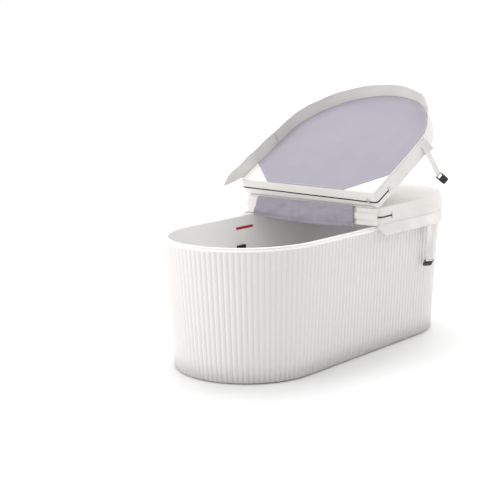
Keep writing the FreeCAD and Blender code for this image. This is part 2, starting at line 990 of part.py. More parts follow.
def tail_cut(sewn):
    """Leaves a pointed tail that runs past the fold below the panel's edge."""
    top = skirt_root + skirt_band * 2
    low = skirt_root - lid_drop * 2
    away = sewn - rim_width
    slope = (tail_length - tail_shoulder) / (lid_drop - tail_tip_drop)
    bottom = sewn - tail_shoulder + slope * lid_drop
    points = [(sewn, top), (sewn, skirt_root), (sewn - tail_length, skirt_root - tail_tip_drop)]
    return trim_block(points + [(bottom, low), (away, low), (away, top)])


sewn_start = fold_half_gap + cover_corner
fixed_side_start = fold_half_gap + fixed_skirt_start
fixed_side_end = cover_end_x - skirt_slit
lid_side_end = cover_end_x - skirt_slit * 2


def fixed_skirt():
    ends = end_stations(fixed_end_angle)
    panels = [skirt_sheet(ends, fixed_drop, fixed_end_flare, fixed_end_wave, skirt_waves_end)]
    trim = slant_cut(fixed_side_start, sewn_start)
    for angle in (-QUARTER, QUARTER):
        stations = side_stations(fixed_side_start, fixed_side_end, angle)
        side = skirt_sheet(stations, fixed_drop, fixed_side_flare, fixed_side_wave, skirt_waves_side)
        panels.append(side.cut(trim))
    return group(panels)


def lid_skirt():
    ends = end_stations(QUARTER - strap_gap_angle)
    end = skirt_sheet(ends, lid_drop, lid_flare, lid_wave, skirt_waves_end)
    stations = side_stations(sewn_start - tail_length - skirt_slit, lid_side_end, -QUARTER)
    far = skirt_sheet(stations, lid_drop, lid_flare, lid_wave, skirt_waves_side)
    return group([end, far.cut(tail_cut(sewn_start))])


def near_section(x, lean):
    turn = math.radians(lean)
    root = vec(x, cover_radius + fit_gap + skirt_thickness / 2, skirt_root)
    up = Y * math.sin(turn) + Z * math.cos(turn)
    half = (Y * math.cos(turn) - Z * math.sin(turn)) * (skirt_thickness / 2)
    tip = root + up * lid_drop
    points = [root - half, root + half, tip + half, tip - half]
    return Part.makePolygon(points + points[:1])


def lid_skirt_near():
    start = fold_half_gap + near_skirt_start
    end = cover_end_x - near_skirt_end_gap
    last = side_sections - 1
    sections = []
    for k in range(side_sections):
        lean = near_skirt_lean + near_skirt_wave * wave_at(k / last, skirt_waves_side)
        sections.append(near_section(start + (end - start) * k / last, lean))
    return Part.makeLoft(sections, True, False)


# Flap that hangs over the fold


def flap_section(y, share):
    phase = 2 * math.pi * flap_waves * share
    mid = 1 - (2 * share - 1) ** 2
    top = jacket_high - flap_top_drop
    low = rim_height - flap_low_end - (flap_low_mid - flap_low_end) * mid
    half = flap_thickness / 2
    back = fold_half_gap - fit_gap - half
    levels = [(top, 0.0), (top - cover_top_round, 0.0)]
    levels.append(((top + low) / 2, flap_stand + flap_sway * math.sin(phase) / 2))
    levels.append((low, flap_stand + flap_sway * math.sin(phase)))
    right = [vec(back - stand + half, y, z) for z, stand in levels]
    left = [vec(back - stand - half, y, z) for z, stand in levels]
    points = right + left[::-1]
    return Part.makePolygon(points + points[:1])


def fold_flap():
    near = flap_near_share * 2 * cover_radius
    far = flap_far_share * 2 * cover_radius
    sections = []
    for k in range(flap_sections):
        share = k / (flap_sections - 1)
        sections.append(flap_section(near + (far - near) * share, share))
    return Part.makeLoft(sections, True, False)


# Straps and buckles, built hanging down from the origin


def strap(length):
    half = strap_width / 2
    web = box(-half, half, -strap_thickness / 2, strap_thickness / 2, -length, 0)
    ring = vec(0, 0, -length - strap_loop_bore)
    loop = tube(strap_loop_radius, strap_loop_bore, ring - X * half, ring + X * half)
    bore = rod(strap_loop_bore, ring - X * half, ring + X * half)
    return union([web.cut(bore), loop])


def buckle(length, tilt):
    half = buckle_width / 2
    deep = buckle_thickness / 2
    inner = half - buckle_rail
    body = box(-half, half, -deep, deep, -buckle_neck - buckle_body, -buckle_neck)
    body = body.makeFillet(buckle_round, body.Edges)
    rails = []
    for side in (-1, 1):
        x0, x1 = sorted((side * half, side * inner))
        rails.append(box(x0, x1, -buckle_rail, buckle_rail, -buckle_neck - buckle_body / 2, buckle_rail))
    bar = rod(buckle_bar_radius, X * -half, X * half)
    wide, tall = buckle_mouth_width / 2, buckle_mouth_tall / 2
    low = -buckle_neck - buckle_body
    mouth = box(-wide, wide, -tall, tall, low, low + buckle_mouth_depth)
    whole = union([body, bar] + rails).cut(mouth)
    whole.rotate(ORIGIN, X, tilt)
    whole.translate(vec(0, 0, -length - strap_loop_bore))
    return whole


def side_hem(x):
    """Distance from the tub's middle line and height of the fixed side skirt's lower edge."""
    share = (x - fixed_side_start) / (fixed_side_end - fixed_side_start)
    lean = math.radians(fixed_side_flare + fixed_side_wave * wave_at(share, skirt_waves_side))
    out = fit_gap + skirt_thickness + fixed_drop * math.sin(lean)
    return cover_radius + out, skirt_root - fixed_drop * math.cos(lean)


def hang_fixed(shape, side):
    x = cover_end_x - fixed_strap_setback
    reach, z = side_hem(x)
    shape = shape.copy()
    shape.rotate(ORIGIN, Z, side * QUARTER - QUARTER)
    shape.translate(vec(x, side * (reach - strap_thickness / 2), z - strap_edge_gap))
    return shape


def hang_lid(shape, side):
    """Strap turned up against the panel's side, on the lid before it is opened."""
    shape = shape.copy()
    shape.rotate(ORIGIN, X, HALF_TURN - lid_strap_lean)
    shape.rotate(ORIGIN, Z, side * QUARTER - QUARTER)
    x = cover_end_x + lid_strap_advance
    edge = math.sqrt(cover_radius ** 2 - max(x - cover_end_x, 0) ** 2)
    y = side * (edge + fit_gap + skirt_thickness / 2)
    shape.translate(vec(x, y, skirt_root))
    return shape


def to_lid(shape):
    """Turn a piece built for the fixed half into the lifted half, opened."""
    shape = shape.copy()
    shape.rotate(ORIGIN, Z, HALF_TURN)
    shape.rotate(vec(0, 0, axis_height), Y, open_angle)
    return shape


# All pieces by name

pieces = {
    "outer_shell": outer_shell(),
    "inner_basin": inner_basin(),
    "foam_jacket": foam_jacket(),
    "base_board": base_board(),
    "base_rails": group(base_rail(side) for side in (-1, 1)),
    "base_bars": group(base_bar(share) for share in (-cross_bar_share, 0, cross_bar_share)),
    "frame_screws": group(frame_screw(s) for s in screw_spots()),
    "foot_pads": group(foot_pad(s) for s in foot_spots()),
    "foot_bolts": group(foot_bolt(s) for s in foot_spots()),
    "foot_nuts": group(foot_nut(s) for s in foot_spots()),
    "drain_body": drain_body(),
    "drain_gasket": drain_gasket(),
    "drain_nut": drain_nut(),
    "drain_elbow": drain_elbow(),
    "drain_pipe": drain_pipe(),
    "drain_plug": drain_plug(),
    "plug_seal": plug_seal(),
    "valve_body": valve_body(),
    "valve_ball": valve_ball(),
    "valve_lever": valve_lever(),
    "valve_nut": valve_nut(),
    "return_fitting": port_face(return_spot),
    "return_gasket": port_gasket(return_spot, port_face_radius, port_neck_radius),
    "return_nut": port_nut(return_spot, port_nut_radius, port_neck_radius),
    "return_tail": return_tail(),
    "suction_fitting": port_face(suction_spot),
    "suction_gasket": port_gasket(suction_spot, port_face_radius, port_neck_radius),
    "suction_nut": port_nut(suction_spot, port_nut_radius, port_neck_radius),
    "suction_tail": suction_tail(),
    "suction_grille": suction_grille(),
    "overflow_cover": overflow_cover(),
    "overflow_gasket": overflow_gasket(),
    "overflow_nut": port_nut(overflow_spot, overflow_nut_radius, overflow_neck_radius),
    "overflow_tail": overflow_tail(),
    "level_mark": level_mark(),
    "fixed_jacket": jacket(),
    "fixed_core": core(),
    "fixed_channel": channel(),
    "fixed_lining": lining(),
    "fixed_zip": zip_strip(),
    "fixed_skirt": fixed_skirt(),
    "fold_flap": fold_flap(),
    "hinge_welt": hinge_welt(),
    "lid_jacket": to_lid(jacket()),
    "lid_core": to_lid(core()),
    "lid_channel": to_lid(channel()),
    "lid_lining": to_lid(lining()),
    "lid_zip": to_lid(zip_strip()),
    "zip_slider": to_lid(zip_slider()),
    "lid_skirt": to_lid(lid_skirt()),
    "lid_skirt_near": to_lid(lid_skirt_near()),
    "lid_tape": to_lid(lid_tape()),
}

for name, side in (("near", -1), ("far", 1)):
    pieces["fixed_strap_" + name] = hang_fixed(strap(fixed_strap_length), side)
    pieces["fixed_buckle_" + name] = hang_fixed(buckle(fixed_strap_length, fixed_buckle_tilt), side)
    pieces["lid_strap_" + name] = to_lid(hang_lid(strap(lid_strap_length), -side))
    pieces["lid_buckle_" + name] = to_lid(hang_lid(buckle(lid_strap_length, lid_buckle_tilt), -side))

for name, shape in pieces.items():
    shape.exportStep("parts/" + name + ".step")
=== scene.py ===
import bmesh
import bpy
import json
import math
from collections import namedtuple
from mathutils import Matrix, Vector, noise


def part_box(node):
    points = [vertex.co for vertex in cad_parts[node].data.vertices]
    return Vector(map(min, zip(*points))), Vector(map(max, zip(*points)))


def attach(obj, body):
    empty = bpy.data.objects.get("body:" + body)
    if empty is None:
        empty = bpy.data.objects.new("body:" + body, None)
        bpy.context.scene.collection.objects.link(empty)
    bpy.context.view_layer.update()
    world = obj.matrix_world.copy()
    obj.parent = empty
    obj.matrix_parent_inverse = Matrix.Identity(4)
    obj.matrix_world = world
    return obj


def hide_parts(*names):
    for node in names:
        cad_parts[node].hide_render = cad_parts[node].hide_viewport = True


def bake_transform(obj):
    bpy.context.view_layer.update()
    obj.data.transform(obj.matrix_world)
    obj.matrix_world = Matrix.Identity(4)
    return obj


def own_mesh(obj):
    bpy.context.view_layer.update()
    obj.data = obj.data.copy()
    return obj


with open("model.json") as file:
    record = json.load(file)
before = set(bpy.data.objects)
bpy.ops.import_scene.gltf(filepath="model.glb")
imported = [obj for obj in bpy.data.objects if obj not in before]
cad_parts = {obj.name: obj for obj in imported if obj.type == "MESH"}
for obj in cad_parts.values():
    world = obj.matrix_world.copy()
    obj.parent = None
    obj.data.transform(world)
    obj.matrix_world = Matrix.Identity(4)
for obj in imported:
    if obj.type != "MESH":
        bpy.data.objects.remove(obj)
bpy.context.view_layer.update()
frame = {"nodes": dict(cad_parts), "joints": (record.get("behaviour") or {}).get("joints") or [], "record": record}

bl_info = {
    "name": "Cold plunge tub",
    "version": (1, 0, 0),
    "blender": (4, 5, 0),
    "location": "View3D > Sidebar > Tub",
    "description": "Gives the tub and its folding cover their finishes and soft pieces",
    "category": "Object",
}

MM = 0.001
QUARTER = math.pi / 2
UP = Vector((0, 0, 1))

# Sizes that come from the frame
joints = {j["name"]: j for j in frame["joints"]}
fold_axis = Vector(joints["lid_fold"]["pos_m"])
open_turn = -math.radians(joints["lid_fold"]["range_deg"][0])
panel_low, panel_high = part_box("fixed_jacket")
basin_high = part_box("inner_basin")[1]
shell_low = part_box("outer_shell")[0]
cover_radius = panel_high.y
cover_end = panel_high.x - cover_radius
panel_length = panel_high.x - panel_low.x
fold_gap = panel_low.x
rim_height = basin_high.z
end_radius = basin_high.y
half_straight = basin_high.x - end_radius

# A piece made for the half that lies on the tub, turned into the lifted half
TO_LID = (
    Matrix.Translation(fold_axis)
    @ Matrix.Rotation(open_turn, 4, "Y")
    @ Matrix.Translation(-fold_axis)
    @ Matrix.Rotation(math.pi, 4, "Z")
)

# Cover halves, in metres
cover_corner = 14 * MM
top_round = 10 * MM
low_round = 8 * MM
fit_gap = 0.3 * MM
weld_gap = 0.001 * MM
lid_sag = 2 * MM
near_sag = 13 * MM
far_slide = 3 * MM

# Creases and crown of the skin
dent_size = 130 * MM
crease_width = 26 * MM
crease_length = 55 * MM
gather_zone = 90 * MM
calm_height = 20 * MM
crown_start = 60 * MM
crown_rise = 30 * MM
crown_edge = 20 * MM
crown_spread = 200 * MM

# Linings
lining_margin = 8 * MM
lining_fold_margin = 1 * MM
lining_cut_along = 148 * MM
lining_cut_across = 170 * MM
lining_middle = cover_end - 40 * MM
lining_ripple = 0.8 * MM
lining_ripple_size = 90 * MM

# Skirts
skirt_root = panel_low.z + 5 * MM
skirt_band = 24 * MM
cloth_thickness = 2.2 * MM
hem_depth = 11 * MM
hem_fold = 2 * MM
ruffle_depth = 1.6 * MM
ruffle_start = 25 * MM
ruffle_size = 26 * MM
fixed_drop = 54 * MM
fixed_root_band = 3 * MM
fixed_sewn = 6 * MM
fixed_nose = 20 * MM
side_flare_start = 40 * MM
side_flare_fade = 200 * MM
fold_flare_start = 220 * MM
fold_flare_fade = 120 * MM
lid_drop = 68 * MM
sewn_start = 26 * MM
seam_x = cover_end - 60 * MM
seam_gap = 2 * MM
tail_length = 150 * MM
tail_shoulder = 84 * MM
tail_tip_drop = 40 * MM
near_end_angle = math.radians(84.5)
end_lap = 22 * MM
drawn_start = math.radians(77)
drawn_span = math.radians(6)
drawn_depth = 3.5 * MM
drawn_drop = 3 * MM
drawn_band = 2 * MM
turn_step = 1.5 * MM
turned_sewn = 24 * MM
turned_strip = 30 * MM
turned_cut = 80 * MM
turned_slant = 31 * MM
turned_stop = 44 * MM
turned_stand = 2.4 * MM

# Lean of the skirts, in degrees
fixed_end_lean, fixed_side_lean, fixed_fold_lean = 6, 22, 10
lid_skirt_lean, lid_near_lean = 5, 24
turned_lean, turned_strap_lean, turned_end_lean = 4, 12, 16

# Flap at the fold
flap_half = 2.5 * MM
flap_rise = 1 * MM
flap_below_rim = 4 * MM
flap_belly = 13 * MM
flap_slant = 40 * MM
flap_draw = 28 * MM
flap_stand = 10 * MM
flap_bulge = 5 * MM
flap_tuck = 14 * MM
flap_wave = 2 * MM
flap_fold = 8 * MM
flap_fold_length = 85 * MM
flap_fold_slope = 60 * MM
flap_fold_height = 38 * MM
flap_crumple = 4.5 * MM
flap_crumple_width = 32 * MM
flap_crumple_height = 100 * MM
flap_clear = 4 * MM

# Straps and buckles
strap_width = 36 * MM
strap_thickness = 2 * MM
strap_edge = 0.6 * MM
loop_radius = 5.2 * MM
loop_opening = 0.5
bar_radius = 3 * MM
bar_drop = 3.4 * MM
rail_place = 20.6 * MM
solid_loop_radius = 5.4 * MM
solid_skirt_half = 1.25 * MM
lid_strap_x = 455 * MM
lid_strap_length = 195 * MM
lid_strap_bow = -5 * MM
lid_strap_lean = math.radians(13)
lid_buckle_tilt = math.radians(-30)
fixed_strap_bow = 3 * MM
fixed_buckle_tilt = math.radians(-50)
fixed_strap_twist = math.radians(40)

# Outer wall
wall_setback = 1.5 * MM
wall_top_gap = 2 * MM
wall_seam = 0.01 * MM
columns_per_flute = 10
wall_rows = 15

# Zips
zip_height = (panel_low.z + panel_high.z) / 2
zip_return = 85 * MM
zip_half = 3.6 * MM
zip_thickness = 0.5 * MM
tack_width = 1.5 * MM
tack_half = 16 * MM
tack_thickness = 0.9 * MM
teeth_lift = 0.8 * MM
placket_lift = 1.8 * MM
placket_half = 15 * MM
placket_thickness = 1.2 * MM
slider_lift = 6.9 * MM
tab_lift = 9.9 * MM

# Welt and tapes at the fold
welt_radius = 2.4 * MM
welt_place = 3 * MM
welt_lump_size = 20 * MM
tape_thickness = 1.5 * MM
tape_edge = 1.3 * MM
tape_edge_middle = 0.6 * MM
tape_round = 0.4 * MM
tape_ripple = 0.4 * MM
tape_ripple_size = 60 * MM
lid_tape_start = 6 * MM

# Stitches
thread_radius = 0.6 * MM
thread_tip = 0.3 * MM
stitch_inset = 9 * MM
stitch_lift = 0.4 * MM

# Counts of steps in the meshes
LOW_STEPS, SIDE_STEPS, TOP_STEPS = 5, 9, 8
PANEL_STEPS = (36, 90, 7, 72)
ZIP_STEPS = (200, 10, 12, 90)
LINING_STEPS = 24
FIXED_SKIRT_STEPS, END_SKIRT_STEPS, TAIL_STEPS, TURNED_STEPS = 320, 200, 110, 100
FLAP_ROWS, FLAP_COLUMNS = 28, 120
STRAP_STEPS, LOOP_STEPS = 24, 15
WELT_STEPS, WELT_SIDES = 60, 16
AREA_STEPS = 40

# Camera that stands where the photograph was taken from
camera_place = Vector((-4.323, -3.429, 1.521))
camera_yaw = math.radians(41.9325)
camera_pitch = math.radians(-10.2342)
camera_roll = math.radians(-1.18657)
camera_lens = 85.04
camera_sensor = 36.0
camera_reach = 200.0

# Floor, its glow and the soft lights as (place, aim, size), in metres
floor_reach = 40.0
glow_start, glow_full = 0.8, 4.0
TOP_LIGHT = ((0.2, 1.0, 4.2), (-0.1, 0, 0.6), 2.6)
END_LIGHT = ((-4.2, 2.6, 1.7), (0, 0, 0.6), 2.5)
BACK_LIGHT = ((3.2, 0.6, 3.6), (0.4, 0, 0.7), 2.0)
SIDE_LIGHT = ((4.0, -2.0, 1.8), (0, -0.4, 0.4), 1.5)

# Grain and relief of the materials
vinyl_cloud = 160 * MM
vinyl_dent = 22 * MM
cloth_cloud = 120 * MM
wood_grain = 30 * MM
wood_relief = 0.1 * MM
brush_depth = 0.02 * MM


def linear(code):
    """An sRGB hex value as linear colour."""
    shares = [int(code[k:k + 2], 16) / 255 for k in (0, 2, 4)]
    levels = [c / 12.92 if c <= 0.04045 else ((c + 0.055) / 1.055) ** 2.4 for c in shares]
    return (*levels, 1.0)


class TubWallSettings(bpy.types.PropertyGroup):
    flute_pitch: bpy.props.FloatProperty(
        name="Flute pitch", description="Distance from one flute to the next",
        default=25.3 * MM, min=5 * MM, unit="LENGTH")
    flute_depth: bpy.props.FloatProperty(
        name="Flute depth", description="How far a flute stands out of the wall",
        default=5 * MM, min=0, unit="LENGTH")
    wall_inset: bpy.props.FloatProperty(
        name="Wall inset", description="How far the wall draws in towards the floor",
        default=41 * MM, min=0, unit="LENGTH")
    wall_thickness: bpy.props.FloatProperty(
        name="Wall thickness", description="Thickness of the outer wall",
        default=4.5 * MM, min=MM, unit="LENGTH")
    run_out: bpy.props.FloatProperty(
        name="Run-out", description="Height at the top over which the flutes run out",
        default=16 * MM, min=MM, unit="LENGTH")
    lip: bpy.props.FloatProperty(
        name="Lip", description="How far the wall stands out at the top to meet the rim's edge",
        default=3 * MM, min=0, unit="LENGTH")
    acrylic: bpy.props.FloatVectorProperty(
        name="Acrylic", description="Colour of the tub's outer wall",
        default=linear("E4E2E0"), size=4, min=0, max=1, subtype="COLOR")


class CoverSettings(bpy.types.PropertyGroup):
    crease: bpy.props.FloatProperty(
        name="Creases", description="Depth of the creases in the cover's skin",
        default=1.6 * MM, min=0, unit="LENGTH")
    swell: bpy.props.FloatProperty(
        name="Swell", description="How far the foam pushes the top up",
        default=2.5 * MM, min=0, unit="LENGTH")
    vinyl: bpy.props.FloatVectorProperty(
        name="Vinyl", description="Colour of the cover's skin",
        default=linear("E6E4E1"), size=4, min=0, max=1, subtype="COLOR")
    lining: bpy.props.FloatVectorProperty(
        name="Lining", description="Colour of the lining and the flap",
        default=linear("9F9CA8"), size=4, min=0, max=1, subtype="COLOR")
    stitch_length: bpy.props.FloatProperty(
        name="Stitch length", description="Length of one stitch", default=5 * MM, min=MM, unit="LENGTH")
    stitch_step: bpy.props.FloatProperty(
        name="Stitch step", description="Distance from one stitch to the next",
        default=8 * MM, min=2 * MM, unit="LENGTH")
    tooth_step: bpy.props.FloatProperty(
        name="Tooth step", description="Distance from one zip tooth to the next",
        default=3.2 * MM, min=MM, unit="LENGTH")


class StageSettings(bpy.types.PropertyGroup):
    floor: bpy.props.FloatVectorProperty(
        name="Floor", description="Colour of the floor",
        default=linear("F8F8F8"), size=4, min=0, max=1, subtype="COLOR")
    floor_glow: bpy.props.FloatProperty(
        name="Floor glow", description="White that the camera sees on the far floor besides its light",
        default=0.5, min=0, max=1, subtype="FACTOR")
    key_power: bpy.props.FloatProperty(
        name="Key light", description="Power of the large soft light overhead",
        default=68, min=0, unit="POWER")
    fill_power: bpy.props.FloatProperty(
        name="Fill light", description="Power of the light at the near end",
        default=72, min=0, unit="POWER")
    back_power: bpy.props.FloatProperty(
        name="Back light", description="Power of the light past the half that stays down",
        default=45, min=0, unit="POWER")
    side_power: bpy.props.FloatProperty(
        name="Side light", description="Power of the light that grazes the flutes",
        default=38, min=0, unit="POWER")
    sky: bpy.props.FloatProperty(
        name="Sky", description="Strength of the light from all round", default=0.8, min=0, subtype="FACTOR")


# Materials


def add_node(tree, kind, inputs=None, **settings):
    """Add a node with its settings, and set or link its inputs."""
    node = tree.nodes.new(kind)
    for key, value in settings.items():
        setattr(node, key, value)
    for key, value in (inputs or {}).items():
        if isinstance(value, bpy.types.NodeSocket):
            tree.links.new(value, node.inputs[key])
        else:
            node.inputs[key].default_value = value
    return node


def start_material(name, roughness, **sockets):
    material = bpy.data.materials.new(name)
    material.use_nodes = True
    tree = material.node_tree
    tree.nodes.clear()
    shader = add_node(tree, "ShaderNodeBsdfPrincipled", {"Roughness": roughness, **sockets})
    add_node(tree, "ShaderNodeOutputMaterial", {"Surface": shader.outputs["BSDF"]})
    return material, tree, shader


def two_tone(tree, shader, factor, first, second):
    """Colour that drifts between two shades, each a hex value or a linear colour."""
    mix = add_node(tree, "ShaderNodeMix", {"Factor": factor}, data_type="RGBA")
    for socket, shade in (("A", first), ("B", second)):
        mix.inputs[socket].default_value = linear(shade) if isinstance(shade, str) else shade
    tree.links.new(mix.outputs["Result"], shader.inputs["Base Color"])


def spread(tree, shader, factor, low, high):
    """Roughness that drifts between two values."""
    span = add_node(tree, "ShaderNodeMapRange", {"Value": factor, "To Min": low, "To Max": high})
    tree.links.new(span.outputs["Result"], shader.inputs["Roughness"])


def relief(tree, shader, height, depth, strength=1.0):
    bump = add_node(tree, "ShaderNodeBump", {"Height": height, "Distance": depth, "Strength": strength})
    tree.links.new(bump.outputs["Normal"], shader.inputs["Normal"])


def object_noise(tree, size, detail=2.0, stretch=(1, 1, 1)):
    """Noise with a grain of that real size, in metres."""
    place = add_node(tree, "ShaderNodeTexCoord").outputs["Object"]
    mapped = add_node(tree, "ShaderNodeMapping", {"Vector": place, "Scale": stretch}).outputs["Vector"]
    field = add_node(tree, "ShaderNodeTexNoise", {"Vector": mapped, "Scale": 1 / size, "Detail": detail})
    return field.outputs["Fac"]


def moulded(name, first, second, roughness, grain, depth, patch, **sockets):
    """A moulded or cast skin: faint cloudiness in colour and gloss, and a fine orange-peel relief."""
    material, tree, shader = start_material(name, roughness, **sockets)
    cloud = object_noise(tree, patch)
    two_tone(tree, shader, cloud, first, second)
    spread(tree, shader, cloud, roughness * 0.85, roughness * 1.2)
    relief(tree, shader, object_noise(tree, grain), depth)
    return material


def brushed(name, first, second, roughness, line, stretch):
    """Drawn or turned steel: fine lines along the way that it was drawn."""
    material, tree, shader = start_material(name, roughness, Metallic=1.0)
    lines = object_noise(tree, line, 3.0, stretch)
    two_tone(tree, shader, lines, first, second)
    spread(tree, shader, lines, roughness * 0.8, roughness * 1.3)
    relief(tree, shader, lines, brush_depth)
    return material


def coated_cloth(name, first, second, roughness, grain, depth):
    """Vinyl-coated cloth: an embossed pebble grain, soft dents and a satin sheen."""
    material, tree, shader = start_material(name, roughness, **{"Coat Weight": 0.06, "Coat Roughness": 0.35})
    cloud = object_noise(tree, vinyl_cloud, 3.0)
    two_tone(tree, shader, cloud, first, second)
    spread(tree, shader, cloud, roughness * 0.88, roughness * 1.12)
    place = add_node(tree, "ShaderNodeTexCoord").outputs["Object"]
    cells = add_node(tree, "ShaderNodeTexVoronoi", {"Vector": place, "Scale": 1 / grain}, feature="SMOOTH_F1")
    dents = object_noise(tree, vinyl_dent)
    height = add_node(tree, "ShaderNodeMath", {0: dents, 1: 3.0, 2: cells.outputs["Distance"]},
                      operation="MULTIPLY_ADD")
    relief(tree, shader, height.outputs["Value"], depth)
    return material


def woven(name, first, second, roughness, thread, depth, diagonal=False):
    """Woven cloth: two sets of fine bands that cross."""
    material, tree, shader = start_material(name, roughness, **{"Sheen Weight": 0.15, "Sheen Roughness": 0.5})
    place = add_node(tree, "ShaderNodeUVMap").outputs["UV"]
    # A band repeats every 2 pi / (20 * scale) of a unit, about five times in a thread
    scale = 20 / (2 * math.pi * 2 * thread)
    bands = []
    for axis in ("X", "Y"):
        kind = "DIAGONAL" if diagonal and axis == "Y" else axis
        wave = add_node(tree, "ShaderNodeTexWave", {"Vector": place, "Scale": scale, "Distortion": 0.6},
                        bands_direction=kind)
        bands.append(wave.outputs["Fac"])
    crossed = add_node(tree, "ShaderNodeMath", {0: bands[0], 1: bands[1]}, operation="MAXIMUM")
    threads = crossed.outputs["Value"]
    cloud = object_noise(tree, cloth_cloud, 3.0)
    shade = add_node(tree, "ShaderNodeMath", {0: threads, 1: cloud}, operation="MULTIPLY").outputs["Value"]
    two_tone(tree, shader, shade, second, first)
    relief(tree, shader, threads, depth)
    return material


def plywood(name):
    """Birch plywood: pale, with long grain."""
    material, tree, shader = start_material(name, 0.6)
    grain = object_noise(tree, wood_grain, 4.0, (0.15, 2, 2))
    two_tone(tree, shader, grain, "C9A878", "A88456")
    relief(tree, shader, grain, wood_relief)
    return material


def make_materials(wall, cover):
    """Every finish by the record's slot."""
    return {
        # Vacuum-formed acrylic outside, satin, and glossier inside
        "shell_acrylic": moulded("satin_acrylic", wall.acrylic, "DFDDDB", 0.36, 9 * MM, 0.03 * MM, 300 * MM,
                                 **{"Coat Weight": 0.1, "Coat Roughness": 0.2}),
        "basin_acrylic": moulded("gloss_acrylic", "FDFCFB", "FAF9F7", 0.2, 14 * MM, 0.02 * MM, 300 * MM,
                                 **{"Coat Weight": 0.2, "Coat Roughness": 0.1}),
        "insulation_foam": moulded("sprayed_foam", "E3D3A0", "CDB987", 0.9, 6 * MM, 1.0 * MM, 60 * MM),
        "plywood": plywood("birch_plywood"),
        "frame_steel": moulded("powder_coated_steel", "232325", "1C1C1E", 0.5, 2 * MM, 0.05 * MM, 80 * MM),
        "zinc_steel": brushed("zinc_plated_steel", "B9BBBC", "A3A6A8", 0.32, 3 * MM, (1, 1, 1)),
        "rubber_black": moulded("moulded_rubber", "161616", "0F0F0F", 0.75, 1.5 * MM, 0.05 * MM, 40 * MM),
        "stainless": brushed("brushed_stainless_steel", "C4C4C2", "AFAFAD", 0.28, 1.5 * MM, (1, 1, 6)),
        "pvc_grey": moulded("grey_pvc", "75777A", "6B6D70", 0.42, 3 * MM, 0.03 * MM, 70 * MM),
        "pvc_white": moulded("white_pvc", "ECECEA", "E2E2E0", 0.32, 4 * MM, 0.02 * MM, 70 * MM),
        "lever_paint": moulded("blue_enamel", "24458A", "1E3B78", 0.3, 3 * MM, 0.03 * MM, 50 * MM),
        "plastic_black": moulded("black_abs", "131314", "1B1B1C", 0.38, 1.2 * MM, 0.04 * MM, 40 * MM),
        "mark_red": moulded("red_print", "C0272D", "B02229", 0.5, 2 * MM, 0.02 * MM, 40 * MM),
        "vinyl_white": coated_cloth("coated_vinyl", cover.vinyl, "DDDAD6", 0.5, 2.4 * MM, 0.12 * MM),
        "cover_foam": moulded("cut_foam", "F2F2EC", "E6E6DE", 0.9, 3 * MM, 0.4 * MM, 60 * MM),
        "lining_grey": woven("lining_cloth", cover.lining, "908D99", 0.62, 1.6 * MM, 0.12 * MM),
        "zip_black": woven("zip_tape", "141415", "0C0C0D", 0.6, 0.8 * MM, 0.05 * MM),
        "nickel": brushed("nickel_plate", "CFCFCC", "BDBDBA", 0.2, 2 * MM, (1, 1, 1)),
        "webbing_white": woven("polyester_webbing", "F6F5F2", "E9E7E3", 0.6, 2.0 * MM, 0.35 * MM, True),
        "buckle_black": moulded("black_acetal", "0F0F10", "171718", 0.3, 1.0 * MM, 0.03 * MM, 30 * MM),
    }


# Meshes


def finished(mesh, slot, body, nodes, limit):
    """Make a piece of a mesh, smooth up to an edge angle, and let it stand for its solids."""
    made = bmesh.new()
    made.from_mesh(mesh)
    bmesh.ops.remove_doubles(made, verts=made.verts, dist=weld_gap)
    bmesh.ops.recalc_face_normals(made, faces=made.faces)
    for face in made.faces:
        face.smooth = True
    for edge in made.edges:
        if len(edge.link_faces) == 2 and edge.calc_face_angle(0) > math.radians(limit):
            edge.smooth = False
    made.to_mesh(mesh)
    made.free()
    mesh.materials.clear()
    mesh.materials.append(finishes[slot])
    piece = bpy.data.objects.new(mesh.name, mesh)
    bpy.context.scene.collection.objects.link(piece)
    if body:
        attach(piece, body)
    if nodes:
        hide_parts(*nodes)
    return piece


def loft(name, rings):
    """A closed mesh through sections of an equal, even count of points, with a UV map in metres."""
    count = len(rings[0])
    verts = [p for ring in rings for p in ring]
    faces = []
    for k in range(len(rings) - 1):
        here, there = k * count, (k + 1) * count
        for j in range(count):
            step = (j + 1) % count
            faces.append((here + j, here + step, there + step, there + j))
    end = len(verts) - count
    for j in range(count // 2 - 1):
        cap = (j, count - 1 - j, count - 2 - j, j + 1)
        faces += [cap, tuple(end + k for k in reversed(cap))]
    mesh = bpy.data.meshes.new(name)
    mesh.from_pydata(verts, [], faces)
    lay_uv(mesh, rings)
    return mesh


def lay_uv(mesh, rings):
    """Lengths along the path and across the section as UV, in metres."""
    count = len(rings[0])
    along, across = [0.0], [0.0]
    for k in range(1, len(rings)):
        along.append(along[-1] + (rings[k][0] - rings[k - 1][0]).length)
    for j in range(1, count):
        across.append(across[-1] + (rings[0][j] - rings[0][j - 1]).length)
    layer = mesh.uv_layers.new(name="cloth")
    for corner in mesh.loops:
        k, j = divmod(corner.vertex_index, count)
        layer.data[corner.index].uv = (along[k], across[j])


def moved(rings, place):
    return [[place(p) for p in ring] for ring in rings]


def on_tub(point):
    return point


def lifted(point):
    """A point of the half on the tub, carried to the lifted half, which sags at its near fold corner."""
    near = (point.y + cover_radius) / (2 * cover_radius)
    along = (point.x - fold_gap) / panel_length
    sag = (lid_sag + near_sag * near) * (1 - 0.5 * ease(along))
    slide = -far_slide * (1 - near) * (1 - ease(2 * along))
    return TO_LID @ (point + Vector((slide, 0, sag)))


def ease(share):
    share = min(max(share, 0.0), 1.0)
    return share * share * (3 - 2 * share)


# Outline of a cover half, as (point, outward direction) pairs


def turn_to(angle):
    return Vector((math.cos(angle), math.sin(angle), 0))


